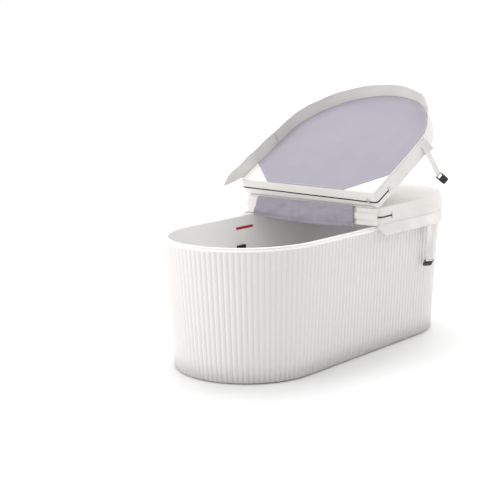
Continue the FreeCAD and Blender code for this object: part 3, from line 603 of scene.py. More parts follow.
def half_outline(inset, steps):
    """Points round a cover half from the near fold corner, counted in steps = (side, end, corner, fold)."""
    side_steps, end_steps, corner_steps, fold_steps = steps
    reach = cover_radius - inset
    corner = max(cover_corner - inset, 0)
    fold = fold_gap + inset
    points = []

    def run(start, stop, turn, count):
        first, last = Vector((*start, 0)), Vector((*stop, 0))
        points.extend((first.lerp(last, k / count), turn_to(turn)) for k in range(count))

    def bend(middle, radius, turn, sweep, count):
        for k in range(count):
            out = turn_to(turn + sweep * k / count)
            points.append((Vector((*middle, 0)) + out * radius, out))

    run((fold + corner, -reach), (cover_end, -reach), -QUARTER, side_steps)
    bend((cover_end, 0), reach, -QUARTER, math.pi, end_steps)
    run((cover_end, reach), (fold + corner, reach), QUARTER, side_steps)
    bend((fold + corner, reach - corner), corner, QUARTER, QUARTER, corner_steps)
    run((fold, reach - corner), (fold, corner - reach), math.pi, fold_steps)
    bend((fold + corner, corner - reach), corner, math.pi, QUARTER, corner_steps)
    return points


# Padded jackets


Half = namedtuple("Half", "name place body shift side_swell fold_swell zip_drift")
HALVES = (
    Half("fixed", on_tub, "fixed_half", shift=Vector((0, 0, 0)),
         side_swell=6 * MM, fold_swell=0.5 * MM, zip_drift=0.0),
    Half("lid", lifted, "lifted_half", shift=Vector((3.1, 1.7, 0.4)),
         side_swell=2.5 * MM, fold_swell=4 * MM, zip_drift=8 * MM),
)


def jacket_profile():
    """(inset, height) from the middle of the underside round the edge to the middle of the top."""
    low, high = panel_low.z, panel_high.z
    flat = [d * MM for d in (400, 360, 310, 255, 200, 150, 105, 70, 45, 28, 17)]
    profile = [(inset, low) for inset in flat]
    for k in range(LOW_STEPS + 1):
        turn = QUARTER * k / LOW_STEPS
        profile.append((low_round * (1 - math.sin(turn)), low + low_round * (1 - math.cos(turn))))
    rise = high - top_round - low - low_round
    profile += [(0, low + low_round + rise * k / SIDE_STEPS) for k in range(1, SIDE_STEPS)]
    for k in range(TOP_STEPS + 1):
        turn = QUARTER * k / TOP_STEPS
        profile.append((top_round * (1 - math.cos(turn)), high - top_round * (1 - math.sin(turn))))
    return profile + [(inset, high) for inset in reversed(flat)]


def crease_at(point, depth):
    """Depth of the skin's creases: broad dents, and folds that gather near the fold."""
    broad = noise.noise(point / dent_size)
    fine = noise.noise(Vector((point.x / crease_width, point.y / crease_length, point.z / crease_width)))
    near_fold = ease(1 - (point.x - fold_gap) / gather_zone)
    above = ease((point.z - panel_low.z) / calm_height)
    return depth * above * (0.7 * broad + (0.35 + 0.9 * near_fold) * fine)


def skin(half, cover, inset, z, point, out):
    """A spot on the skin: the outline's point, swelled by the foam and creased."""
    low, high = panel_low.z + low_round, panel_high.z - top_round
    bulge = math.sin(math.pi * min(max((z - low) / (high - low), 0), 1))
    swell = half.side_swell + (half.fold_swell - half.side_swell) * ease(-out.x)
    upper = ease((z - panel_low.z - crown_start) / crown_rise)
    point = point + UP * z
    lift = upper * ease(inset / crown_edge)
    way = out * (1 - lift) + UP * lift
    crown = cover.swell * lift * ease(inset / crown_spread)
    return point + out * (swell * bulge) + way * crease_at(point + half.shift, cover.crease) + UP * crown


class TUB_OT_jackets(bpy.types.Operator):
    """Make the padded skins of the two cover halves"""
    bl_idname = "tub.jackets"
    bl_label = "Cover jackets"

    def execute(self, context):
        cover = context.scene.tub_cover
        for half in HALVES:
            rings = []
            for inset, z in jacket_profile():
                rings.append([half.place(skin(half, cover, inset, z, p, out))
                              for p, out in half_outline(inset, PANEL_STEPS)])
            nodes = [half.name + "_jacket", half.name + "_core", half.name + "_channel"]
            mesh = loft(half.name + "_padded_jacket", rings)
            piece = finished(mesh, "vinyl_white", half.body, nodes, 60)
        return {"FINISHED"}


# Linings


def lining_outline(inset=0.0):
    """Edge of the lining, clear of the panel's edge, with its two cut corners at the fold."""
    reach = cover_radius - lining_margin - inset
    fold = fold_gap + lining_fold_margin + inset
    cut, shoulder = fold + lining_cut_along, reach - lining_cut_across
    outline = [(cover_end, reach), (cut, reach), (fold, shoulder)]
    outline += [(x, -y) for x, y in reversed(outline)]
    corners = [Vector((x, y, 0)) for x, y in outline]
    points = []
    for a, b in zip(corners, corners[1:]):
        points += [a.lerp(b, k / LINING_STEPS) for k in range(LINING_STEPS)]
    end_steps = 3 * LINING_STEPS
    for k in range(end_steps):
        points.append(Vector((cover_end, 0, 0)) + turn_to(-QUARTER + math.pi * k / end_steps) * reach)
    return points


def flat_area(points):
    """Area inside a flat outline."""
    pairs = zip(points, points[1:] + points[:1])
    return abs(sum(a.x * b.y - b.x * a.y for a, b in pairs)) / 2


def lining_rings():
    """Rings of the lining from its underside's middle to the middle of its upper face."""
    low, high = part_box("fixed_lining")
    edge = lining_outline()
    middle = Vector((lining_middle, 0, 0))
    shares = (0.02, 0.25, 0.5, 0.7, 0.85, 0.94, 0.985, 1.0)
    rings = []
    for share in shares:
        ring = []
        for p in edge:
            p = middle.lerp(p, share)
            sag = lining_ripple * abs(noise.noise(p / lining_ripple_size)) * ease((1 - share) / 0.06)
            ring.append(Vector((p.x, p.y, low.z + sag)))
        rings.append(ring)
    for share in reversed(shares):
        rings.append([middle.lerp(p, share) + UP * high.z for p in edge])
    return rings


def flat_uv(mesh, rings):
    """UV of a flat piece, in metres, as it lies before it is turned."""
    spots = [p for ring in rings for p in ring]
    layer = mesh.uv_layers["cloth"]
    for corner in mesh.loops:
        layer.data[corner.index].uv = spots[corner.vertex_index].xy


class TUB_OT_linings(bpy.types.Operator):
    """Make the cloth linings under the two cover halves"""
    bl_idname = "tub.linings"
    bl_label = "Linings"

    def execute(self, context):
        rings = lining_rings()
        for half in HALVES:
            mesh = loft(half.name + "_lining_cloth", moved(rings, half.place))
            flat_uv(mesh, rings)
            piece = finished(mesh, "lining_grey", half.body, [half.name + "_lining"], 60)
            flat_area(lining_outline())
        return {"FINISHED"}


# Skirts


def hem_rows(drop):
    """(depth, half thickness) where the cloth is folded over and sewn, down to its lower edge."""
    half = cloth_thickness / 2
    thick = half * 1.5
    hem = drop - hem_depth
    return [(hem - hem_fold, half), (hem, half * 0.8), (hem + hem_fold, thick), (drop - hem_fold, thick),
            (drop, thick * 0.5)]


def skirt_section(band, drop, lean):
    """Section of a skirt as (outward, up, depth): sewn band, root, and cloth that leans out to its hem."""
    half = cloth_thickness / 2
    away = (math.cos(lean), math.sin(lean))
    level, middle = (1.0, 0.0), (math.cos(lean / 2), math.sin(lean / 2))
    band_rows = ((band, half * 0.5), (band * 0.92, half), (band * 0.4, half))
    rows = [(half, up, 0.0, level, t) for up, t in band_rows]
    for depth, t in [(drop * share, half) for share in (0.0, 0.12, 0.28, 0.45, 0.62)] + hem_rows(drop):
        normal = away if depth > 0 else middle
        rows.append((half + depth * math.sin(lean), -depth * math.cos(lean), depth, normal, t))
    outer = [(o + n[0] * t, up + n[1] * t, depth) for o, up, depth, n, t in rows]
    inner = [(o - n[0] * t, up - n[1] * t, depth) for o, up, depth, n, t in rows]
    return outer + inner[::-1]


def ruffle(root, depth):
    """How far hanging cloth stands in or out of its even slope at a depth below its root."""
    wave = noise.noise(Vector((root.x, root.y, depth)) / ruffle_size)
    return ruffle_depth * ease(depth / ruffle_start) * wave


def hang(path, ends, drop, band, lean, count):
    """Sections of a skirt along a path. ends(depth) gives where it starts and stops there, along the path."""
    rings = []
    for k in range(count + 1):
        share = k / count
        ring = []
        for outward, up, depth in skirt_section(band(share), drop, lean(share)):
            start, stop = ends(depth)
            root, out = path(start + (stop - start) * share)
            ring.append(root + out * (outward + ruffle(root, depth)) + UP * up)
        rings.append(ring)
    return rings


def edge_path(way):
    """Root of a skirt and its outward direction: near side, round end, and back along the far side."""
    side, round_end = cover_end - fold_gap, math.pi * cover_radius
    reach = cover_radius + fit_gap
    if way < side:
        return Vector((fold_gap + way, -reach, skirt_root)), turn_to(-QUARTER)
    if way < side + round_end:
        out = turn_to(-QUARTER + (way - side) / cover_radius)
        return Vector((cover_end, 0, skirt_root)) + out * reach, out
    return Vector((cover_end - (way - side - round_end), reach, skirt_root)), turn_to(QUARTER)


def whole_edge():
    return 2 * (cover_end - fold_gap) + math.pi * cover_radius


def fixed_ends(depth):
    """The fixed skirt starts and stops in a free nose past the fold, cut on a slant down to its hem."""
    slant = (fixed_sewn + fixed_nose) * ease(depth / fixed_drop) - fixed_nose
    start = fixed_sewn if depth <= 0 else slant
    return start, whole_edge() - start


def fixed_lean(share):
    """The skirt is pushed out along the sides, most near the fold, and hangs nearly straight at the end."""
    way = min(share, 1 - share) * whole_edge()
    past = way - (cover_end - fold_gap)
    beside = 1 - ease((past + side_flare_start) / side_flare_fade)
    near_fold = 1 - ease((past + fold_flare_start) / fold_flare_fade)
    flare = fixed_end_lean + fixed_side_lean * beside + fixed_fold_lean * near_fold
    wave = 2.2 * math.sin(26 * math.pi * share) + 1.5 * noise.noise(Vector((share * 40, 0.4, 0.8)))
    return math.radians(flare + wave)


def tail_ends(depth):
    """The lid's far skirt has a free pointed tail past the fold."""
    stop = seam_x - fold_gap - seam_gap
    if depth <= 0:
        return sewn_start, stop
    if depth < tail_tip_drop:
        return sewn_start - tail_length * depth / tail_tip_drop, stop
    past = (depth - tail_tip_drop) / (lid_drop - tail_tip_drop)
    return sewn_start - tail_length + (tail_length - tail_shoulder) * past, stop


def tail_lean(share):
    wave = 2.5 * math.sin(6 * math.pi * share) + 2 * noise.noise(Vector((share * 14, 0.2, 3.1)))
    return math.radians(lid_skirt_lean + wave)


def drawn_in(angle):
    """Share by which the lid's end skirt is drawn in behind the far strap and the far skirt."""
    return ease((-angle - drawn_start) / drawn_span)


def far_end_angle():
    """The end skirt runs on along the far side past the seam, counted as a turn of the round end."""
    return QUARTER + (cover_end - seam_x + end_lap) / cover_radius


def end_path(angle):
    """Root of the lid's end skirt and its outward direction, at a turn of the round end."""
    pull = drawn_in(angle)
    turn = max(angle, -QUARTER)
    out = turn_to(turn)
    root = Vector((cover_end, 0, skirt_root)) + out * (cover_radius + fit_gap - drawn_depth * pull)
    return root - UP * (drawn_drop * pull) - Vector((cover_radius * (turn - angle), 0, 0)), out


def end_ends(depth):
    return -far_end_angle(), near_end_angle


def end_angle(share):
    return -far_end_angle() + (near_end_angle + far_end_angle()) * share


def end_band(share):
    return skirt_band - (skirt_band - drawn_band) * drawn_in(end_angle(share))


def end_lean(share):
    """The end skirt is drawn in at the far seam and flares at its near end, where it starts to turn over."""
    wave = 2.5 * math.sin(14 * math.pi * share) + 2 * noise.noise(Vector((share * 30, 0.9, 1.7)))
    pull = drawn_in(end_angle(share))
    flare = lid_near_lean * ease((share - 0.9) / 0.1)
    return math.radians((lid_skirt_lean + wave + flare) * (1 - pull) - pull)


def turned_ends(depth):
    """The turned skirt narrows to a strip along the panel's edge near the fold."""
    narrow = min(depth / turned_strip, 1.0)
    past = max(depth - turned_strip, 0.0) / (lid_drop - turned_strip)
    start = turned_sewn + turned_cut * narrow + turned_slant * past
    return whole_edge() - start, whole_edge() - (cover_end - fold_gap) - turned_stop


def turned_section(share):
    """The lid's near skirt, turned over against the panel's side, and off it where it covers the strap."""
    past = ease((share - 0.8) / 0.15)
    flare = turned_strap_lean * past + turned_end_lean * ease((share - 0.92) / 0.08)
    lean = math.radians(turned_lean + 1.5 * math.sin(6 * math.pi * share) + flare)
    lean += math.radians(1.8) * noise.noise(Vector((share * 9, 0.3, 0.7)))
    half = cloth_thickness / 2
    line = [(0, half * 0.5)] + [(k * turn_step, half) for k in range(1, 10)]
    line += [(lid_drop * down, half) for down in (0.3, 0.45, 0.6)] + hem_rows(lid_drop)
    front, back = [], []
    for depth, t in line:
        start, stop = turned_ends(depth)
        root, out = edge_path(start + (stop - start) * share)
        up = out * math.sin(lean) + UP * math.cos(lean)
        across = out * math.cos(lean) - UP * math.sin(lean)
        spot = root + out * (half + turned_stand * past + max(ruffle(root, depth), 0)) + up * depth
        front.append(spot + across * t)
        back.append(spot - across * t)
    return front + back[::-1]


def turned_area():
    """Area of the turned skirt laid flat."""
    rows = [turned_ends(lid_drop * k / AREA_STEPS) for k in range(AREA_STEPS + 1)]
    return sum(start - stop for start, stop in rows) / len(rows) * lid_drop


def even_band(share):
    return skirt_band


def fixed_band(share):
    return fixed_root_band


class TUB_OT_skirts(bpy.types.Operator):
    """Make the skirts that hang from the edges of the cover"""
    bl_idname = "tub.skirts"
    bl_label = "Skirts"

    def sew(self, name, rings, place, body, node, flat, rests, area=None):
        piece = finished(loft(name, moved(rings, place)), "vinyl_white", body, [node], 50)
        return piece

    def execute(self, context):
        rings = hang(edge_path, fixed_ends, fixed_drop, fixed_band, fixed_lean, FIXED_SKIRT_STEPS)
        self.sew("fixed_hanging_skirt", rings, on_tub, "fixed_half", "fixed_skirt",
                 (fixed_drop + fixed_band(0), whole_edge()), "fixed_padded_jacket")
        height = lid_drop + skirt_band
        rings = hang(end_path, end_ends, lid_drop, end_band, end_lean, END_SKIRT_STEPS)
        length = (near_end_angle + far_end_angle()) * cover_radius
        self.sew("lid_end_skirt", rings, lifted, "lifted_half", "lid_skirt",
                 (height, length), "lid_padded_jacket")
        rings = hang(edge_path, tail_ends, lid_drop, even_band, tail_lean, TAIL_STEPS)
        length = seam_x - fold_gap + tail_length
        self.sew("lid_tail_skirt", rings, lifted, "lifted_half", "lid_skirt",
                 (height, length), "lid_padded_jacket")
        start, stop = turned_ends(0)
        rings = [turned_section(k / TURNED_STEPS) for k in range(TURNED_STEPS + 1)]
        piece = self.sew("lid_turned_skirt", rings, lifted, None, "lid_skirt_near",
                         (lid_drop, start - stop), "lid_padded_jacket", turned_area())
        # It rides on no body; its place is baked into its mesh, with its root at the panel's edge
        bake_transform(piece)
        return {"FINISHED"}


# Flap at the fold


def flap_section(low, high, share):
    """Front and back of the flap from its top edge down, at a share of its width, with a slant far edge."""
    width = high.y - low.y
    back = fold_gap - fit_gap - flap_half
    top = fold_axis.z + flap_rise
    bottom = rim_height - flap_below_rim - flap_belly * (1 - (2 * share - 1) ** 2)
    front, rear = [], []
    for j in range(FLAP_ROWS + 1):
        v = j / FLAP_ROWS
        y = low.y + (width + flap_slant * v - flap_draw) * share
        z = top + (bottom - top) * v
        stand = flap_stand + flap_bulge * ease(v / 0.6) - flap_tuck * ease((v - 0.74) / 0.26)
        stand += flap_wave * v * math.sin(5 * math.pi * share)
        skew = y / flap_fold_length + z / flap_fold_slope
        slanting = noise.noise(Vector((skew, z / flap_fold_height, 1.3)))
        upright = noise.noise(Vector((y / flap_crumple_width, z / flap_crumple_height, 4.1)))
        fold = flap_fold * ease(v / 0.25) * slanting + flap_crumple * ease(v / 0.3) * upright
        fold = min(fold, stand - flap_clear)
        edge = min(share, 1 - share) * width
        full = min(edge / flap_half, (1 - v) * (top - bottom) / flap_half, 1.0)
        thick = flap_half * math.sqrt(max(full, 0.05))
        x = back - stand + fold
        front.append(Vector((x - thick, y, z)))
        rear.append(Vector((x + thick, y, z)))
    return front + rear[::-1]


class TUB_OT_flap(bpy.types.Operator):
    """Make the padded flap that hangs at the fold"""
    bl_idname = "tub.flap"
    bl_label = "Fold flap"

    def execute(self, context):
        low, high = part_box("fold_flap")
        rings = [flap_section(low, high, k / FLAP_COLUMNS) for k in range(FLAP_COLUMNS + 1)]
        piece = finished(loft("fold_flap_padded", rings), "lining_grey", "fixed_half", ["fold_flap"], 60)
        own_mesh(piece)
        return {"FINISHED"}


# Straps and buckles, made hanging down from the origin


def strap_rings(length, bow, twist):
    """Webbing down to its loop round the buckle's bar, bowed and twisted as it hangs."""
    half, thick = strap_width / 2, strap_thickness / 2
    line = []
    for k in range(STRAP_STEPS + 1):
        share = k / STRAP_STEPS
        spot = Vector((0, bow * math.sin(math.pi * share), -length * share))
        line.append((spot, Vector((0, 1, 0)), share))
    centre = Vector((0, 0, -length - bar_drop))
    for k in range(1, LOOP_STEPS + 1):
        turn = QUARTER - (2 * math.pi - loop_opening) * k / LOOP_STEPS
        out = Vector((0, math.cos(turn), math.sin(turn)))
        line.append((centre + out * (loop_radius - thick), out, 1.0))
    rings = []
    for p, n, share in line:
        section = []
        for side, level in ((-1, 1), (1, 1), (1, -1), (-1, -1)):
            order = (strap_edge, 0) if side * level < 0 else (0, strap_edge)
            for cut in order:
                x = side * (half - cut)
                section.append(p + Vector((x, 0, 0)) + n * (level * (thick - (strap_edge - cut) * 0.9)))
        turn = Matrix.Rotation(twist * ease(share / 0.8), 3, "Z")
        rings.append([turn @ q for q in section])
    return rings


def rounded_ring(wide, deep, z, power, steps):
    """A ring between an ellipse, at power 2, and a rectangle, which it nears as the power grows."""
    ring = []
    for k in range(steps):
        turn = 2 * math.pi * k / steps
        c, s = math.cos(turn), math.sin(turn)
        x = math.copysign(abs(c) ** (2 / power), c) * wide
        y = math.copysign(abs(s) ** (2 / power), s) * deep
        ring.append(Vector((x, y, z)))
    return ring


def ring_stack(table, power, steps):
    """Rounded rings of (half width, half depth, height) in millimetres."""
    return [rounded_ring(w * MM, d * MM, z * MM, power, steps) for w, d, z in table]


def buckle_parts():
    """Rings of the body and the two rails, and the bar, round the bar's centre."""
    body = ((17, 3.2, -12.6), (20.5, 4.6, -14), (22.2, 5.6, -17), (22.8, 6, -22), (22.8, 6, -27),
            (22.2, 5.4, -28.2), (22.2, 5.4, -29.4), (22.8, 6, -30.6), (22.6, 6, -38), (21.6, 5.8, -44),
            (20, 5, -48.4), (17.5, 3.4, -49.8))
    rail = ((1.6, 2.4, 4.4), (2.1, 3.4, 3.4), (2.3, 3.8, 0), (2.3, 3.8, -8), (2.3, 4.2, -18))
    parts = [ring_stack(body, 5, 32)]
    for side in (-1, 1):
        shift = Vector((side * rail_place, 0, 0))
        parts.append(moved(ring_stack(rail, 4, 20), lambda p: p + shift))
    bar = []
    for x in (-21, -20, 20, 21):
        bar.append([Vector((x * MM, p.x, p.y)) for p in rounded_ring(bar_radius, bar_radius, 0, 2, 20)])
    return parts + [bar]


def joined(name, groups):
    """One mesh of several lofts."""
    made = bmesh.new()
    for rings in groups:
        part = loft(name + "_part", rings)
        made.from_mesh(part)
        bpy.data.meshes.remove(part)
    mesh = bpy.data.meshes.new(name)
    made.to_mesh(mesh)
    made.free()
    return mesh


def fixed_hang(side):
    """Where a fixed strap hangs, from its solid."""
    low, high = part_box("fixed_strap_near" if side < 0 else "fixed_strap_far")
    spot = Vector(((low.x + high.x) / 2, (low.y + high.y) / 2, high.z))
    length = high.z - low.z - bar_drop - solid_loop_radius
    return Matrix.Translation(spot) @ Matrix.Rotation(side * QUARTER - QUARTER, 4, "Z"), length


def lid_hang(side):
    """Where a strap is turned up at the lid's side, before the lid is lifted."""
    edge = math.sqrt(cover_radius ** 2 - (lid_strap_x - cover_end) ** 2) + fit_gap + solid_skirt_half
    spot = Vector((lid_strap_x, side * edge, skirt_root))
    face = Matrix.Rotation(side * QUARTER - QUARTER, 4, "Z")
    turn = face @ Matrix.Rotation(math.pi - lid_strap_lean, 4, "X")
    shift = Matrix.Translation(lifted(spot) - TO_LID @ spot)
    return shift @ TO_LID @ Matrix.Translation(spot) @ turn


class TUB_OT_straps(bpy.types.Operator):
    """Make the webbing straps and their buckles"""
    bl_idname = "tub.straps"
    bl_label = "Straps and buckles"

    def execute(self, context):
        for name, side in (("near", -1), ("far", 1)):
            place, length = fixed_hang(side)
            self.tie("fixed", name, place, length, fixed_buckle_tilt, fixed_strap_bow,
                     side * fixed_strap_twist, "fixed_" + name + "_tie")
            body = "lid_near_edge" if side < 0 else "lid_far_tie"
            self.tie("lid", name, lid_hang(-side), lid_strap_length, lid_buckle_tilt, lid_strap_bow,
                     0.0, body)
        return {"FINISHED"}

    def tie(self, half, name, place, length, tilt, bow, twist, body):
        label = half + "_strap_" + name
        rings = moved(strap_rings(length, bow, twist), lambda p: place @ p)
        finished(loft(label + "_webbing", rings), "webbing_white", body, [label], 50)
        centre = Matrix.Translation(Vector((0, 0, -length - bar_drop)))
        turned = place @ centre @ Matrix.Rotation(twist, 4, "Z") @ Matrix.Rotation(tilt, 4, "X")
        label = half + "_buckle_" + name
        mesh = joined(label + "_moulded", [moved(rings, lambda p: turned @ p) for rings in buckle_parts()])
        finished(mesh, "buckle_black", body, [label], 35)


# Outer wall, by a node tree


def new_input(tree, name, kind):
    """Give a node tree an input, and return what a modifier calls it."""
    return tree.interface.new_socket(name=name, in_out="INPUT", socket_type="NodeSocket" + kind).identifier


def wall_tree():
    """Fluted wall as a rule: a grid whose columns run round the outline and rows up the wall."""
    tree = bpy.data.node_groups.new("fluted_wall", "GeometryNodeTree")
    tree.interface.new_socket(name="Geometry", in_out="OUTPUT", socket_type="NodeSocketGeometry")
    sockets = {}
    for name in ("Half straight", "End radius", "Low", "High", "Rim height", "Setback", "Taper", "Depth",
                 "Lip", "Run-out"):
        sockets[name] = new_input(tree, name, "Float")
    for name in ("Side flutes", "End flutes", "Columns", "Rows"):
        sockets[name] = new_input(tree, name, "Int")
    sockets["Material"] = new_input(tree, "Material", "Material")
    given = add_node(tree, "NodeGroupInput").outputs

    def calc(operation, *values):
        node = add_node(tree, "ShaderNodeMath", dict(enumerate(values)), operation=operation)
        return node.outputs["Value"]

    grid = add_node(tree, "GeometryNodeMeshGrid", {
        "Size X": 1.0, "Size Y": 1.0, "Vertices X": given["Columns"], "Vertices Y": given["Rows"]})
    flat = add_node(tree, "GeometryNodeInputPosition").outputs["Position"]
    spot = add_node(tree, "ShaderNodeSeparateXYZ", {"Vector": flat})
    share = calc("ADD", spot.outputs["X"], 0.5)
    rise = calc("ADD", spot.outputs["Y"], 0.5)
    # Flutes counted from the start: straights take the side flutes and ends the end flutes
    turn_flutes = calc("ADD", given["Side flutes"], given["End flutes"])
    flute = calc("MULTIPLY", calc("MULTIPLY", share, 2.0), turn_flutes)
    second = calc("GREATER_THAN", flute, calc("SUBTRACT", turn_flutes, 0.0001))
    here = calc("SUBTRACT", flute, calc("MULTIPLY", second, turn_flutes))
    along = calc("DIVIDE", calc("MINIMUM", here, given["Side flutes"]), given["Side flutes"])
    past = calc("MAXIMUM", calc("SUBTRACT", here, given["Side flutes"]), 0.0)
    angle = calc("SUBTRACT", calc("MULTIPLY", calc("DIVIDE", past, given["End flutes"]), math.pi), QUARTER)
    base = calc("MULTIPLY", calc("SUBTRACT", calc("MULTIPLY", along, 2.0), 1.0), given["Half straight"])
    # A flute is a shallow arch between two sharp valleys
    within = calc("SUBTRACT", calc("MULTIPLY", calc("FRACT", here), 2.0), 1.0)
    arch = calc("SUBTRACT", 1.0, calc("MULTIPLY", within, within))
    # Rows lie closer together towards the top, where the flutes run out
    climb = calc("SUBTRACT", 1.0, calc("POWER", calc("SUBTRACT", 1.0, rise), 2.5))
    z = calc("ADD", given["Low"], calc("MULTIPLY", climb, calc("SUBTRACT", given["High"], given["Low"])))
    below = calc("DIVIDE", calc("SUBTRACT", given["High"], z), given["Run-out"])
    fade = calc("SMOOTH_MIN", calc("MINIMUM", below, 1.0), 1.0, 0.3)
    crest = calc("SUBTRACT", calc("SUBTRACT", given["End radius"], given["Setback"]),
                 calc("MULTIPLY", given["Taper"], calc("SUBTRACT", given["Rim height"], z)))
    valley = calc("MULTIPLY", calc("MULTIPLY", calc("SUBTRACT", 1.0, arch), given["Depth"]), fade)
    cover = calc("MULTIPLY", calc("SUBTRACT", 1.0, fade), given["Lip"])
    radius = calc("ADD", calc("SUBTRACT", crest, valley), cover)
    sign = calc("SUBTRACT", 1.0, calc("MULTIPLY", second, 2.0))
    x = calc("MULTIPLY", sign, calc("ADD", base, calc("MULTIPLY", radius, calc("COSINE", angle))))
    y = calc("MULTIPLY", sign, calc("MULTIPLY", radius, calc("SINE", angle)))
    place = add_node(tree, "ShaderNodeCombineXYZ", {"X": x, "Y": y, "Z": z}).outputs["Vector"]
    shaped = add_node(tree, "GeometryNodeSetPosition", {"Geometry": grid.outputs["Mesh"], "Position": place})
    closed = add_node(tree, "GeometryNodeMergeByDistance", {
        "Geometry": shaped.outputs[0], "Distance": wall_seam})
    real = add_node(tree, "GeometryNodeRealizeInstances", {"Geometry": closed.outputs[0]})
    painted = add_node(tree, "GeometryNodeSetMaterial", {
        "Geometry": real.outputs[0], "Material": given["Material"]})
    add_node(tree, "NodeGroupOutput", {"Geometry": painted.outputs[0]})
    return tree, sockets


def run_tree(name, tree, values, base=None):
    """The tree's result as a plain mesh."""
    carrier = bpy.data.objects.new(name + "_carrier", base or bpy.data.meshes.new(name + "_carrier"))
    bpy.context.scene.collection.objects.link(carrier)
    modifier = carrier.modifiers.new(name, "NODES")
    modifier.node_group = tree
    for key, value in values.items():
        modifier[key] = value
    graph = bpy.context.evaluated_depsgraph_get()
    mesh = bpy.data.meshes.new_from_object(carrier.evaluated_get(graph))
    mesh.name = name
    carrier.modifiers.remove(modifier)
    bpy.data.objects.remove(carrier)
    return mesh


class TUB_OT_outer_wall(bpy.types.Operator):
    """Make the fluted outer wall"""
    bl_idname = "tub.outer_wall"
    bl_label = "Outer wall"

    def execute(self, context):
        wall = context.scene.tub_wall
        tree, sockets = wall_tree()
        side = round(2 * half_straight / wall.flute_pitch)
        middle = end_radius - wall_setback - wall.wall_inset / 2
        end = round(math.pi * middle / wall.flute_pitch)
        given = {
            "Half straight": half_straight, "End radius": end_radius,
            "Low": shell_low.z, "High": rim_height - wall_top_gap, "Rim height": rim_height,
            "Setback": wall_setback, "Taper": wall.wall_inset / rim_height, "Depth": wall.flute_depth,
            "Lip": wall.lip, "Run-out": wall.run_out, "Side flutes": side, "End flutes": end,
            "Columns": 2 * (side + end) * columns_per_flute + 1, "Rows": wall_rows,
            "Material": finishes["shell_acrylic"],
        }
        mesh = run_tree("fluted_outer_wall", tree, {sockets[k]: v for k, v in given.items()})
        piece = finished(mesh, "shell_acrylic", "tub", ["outer_shell"], 32)
        thick = piece.modifiers.new("thickness", "SOLIDIFY")
        thick.thickness = wall.wall_thickness
        thick.offset = -1
        return {"FINISHED"}


# Zips


def path_tree(name, solid):
    """Copies of a small solid along a curve, at an even step."""
    tree = bpy.data.node_groups.new(name, "GeometryNodeTree")
    tree.interface.new_socket(name="Geometry", in_out="OUTPUT", socket_type="NodeSocketGeometry")
    new_input(tree, "Geometry", "Geometry")
    step = new_input(tree, "Step", "Float")
    paint = new_input(tree, "Material", "Material")
    given = add_node(tree, "NodeGroupInput").outputs
    points = add_node(tree, "GeometryNodeCurveToPoints", {
        "Curve": given["Geometry"], "Length": given["Step"]}, mode="LENGTH")
    shape = add_node(tree, "GeometryNodeObjectInfo", {"Object": solid})
    copies = add_node(tree, "GeometryNodeInstanceOnPoints", {
        "Points": points.outputs["Points"], "Instance": shape.outputs["Geometry"],
        "Rotation": points.outputs["Rotation"]})
    real = add_node(tree, "GeometryNodeRealizeInstances", {"Geometry": copies.outputs[0]})
    painted = add_node(tree, "GeometryNodeSetMaterial", {
        "Geometry": real.outputs[0], "Material": given["Material"]})
    add_node(tree, "NodeGroupOutput", {"Geometry": painted.outputs[0]})
    return tree, step, paint


def small_solid(name, rings):
    solid = bpy.data.objects.new(name, loft(name, rings))
    bpy.context.scene.collection.objects.link(solid)
    return solid


def along_paths(name, paths, solid, step, slot, body):
    """A row of small solids along each path, as one piece."""
    curve = bpy.data.curves.new(name + "_path", "CURVE")
    curve.dimensions = "3D"
    for points in paths:
        spline = curve.splines.new("POLY")
        spline.points.add(len(points) - 1)
        for spot, p in zip(spline.points, points):
            spot.co = (*p, 1)
    tree, step_socket, paint_socket = path_tree(name, solid)
    mesh = run_tree(name, tree, {step_socket: step, paint_socket: finishes[slot]}, curve)
    finished(mesh, slot, body, [], 40)


def zip_line(half, cover, lift):
    """Middle line of a zip on the skin, round the fold's end of a cover half, as (point, outward) pairs."""
    reach = fold_gap + cover_corner + zip_return
    outline = half_outline(0, ZIP_STEPS)
    side_steps, end_steps = ZIP_STEPS[:2]
    line = []
    for p, out in outline[side_steps + end_steps:] + outline[:side_steps]:
        if p.x <= reach:
            drift = half.zip_drift * (p.y + cover_radius) / (2 * cover_radius)
            line.append((skin(half, cover, 0, zip_height + drift, p, out) + out * lift, out))
    return line


def strip(line, wide, thin):
    """Rings of a flat band that stands on edge along a line."""
    rings = []
    for p, out in line:
        top, low = p + UP * wide, p - UP * wide
        rings.append([top, top + out * thin, low + out * thin, low])
    return rings


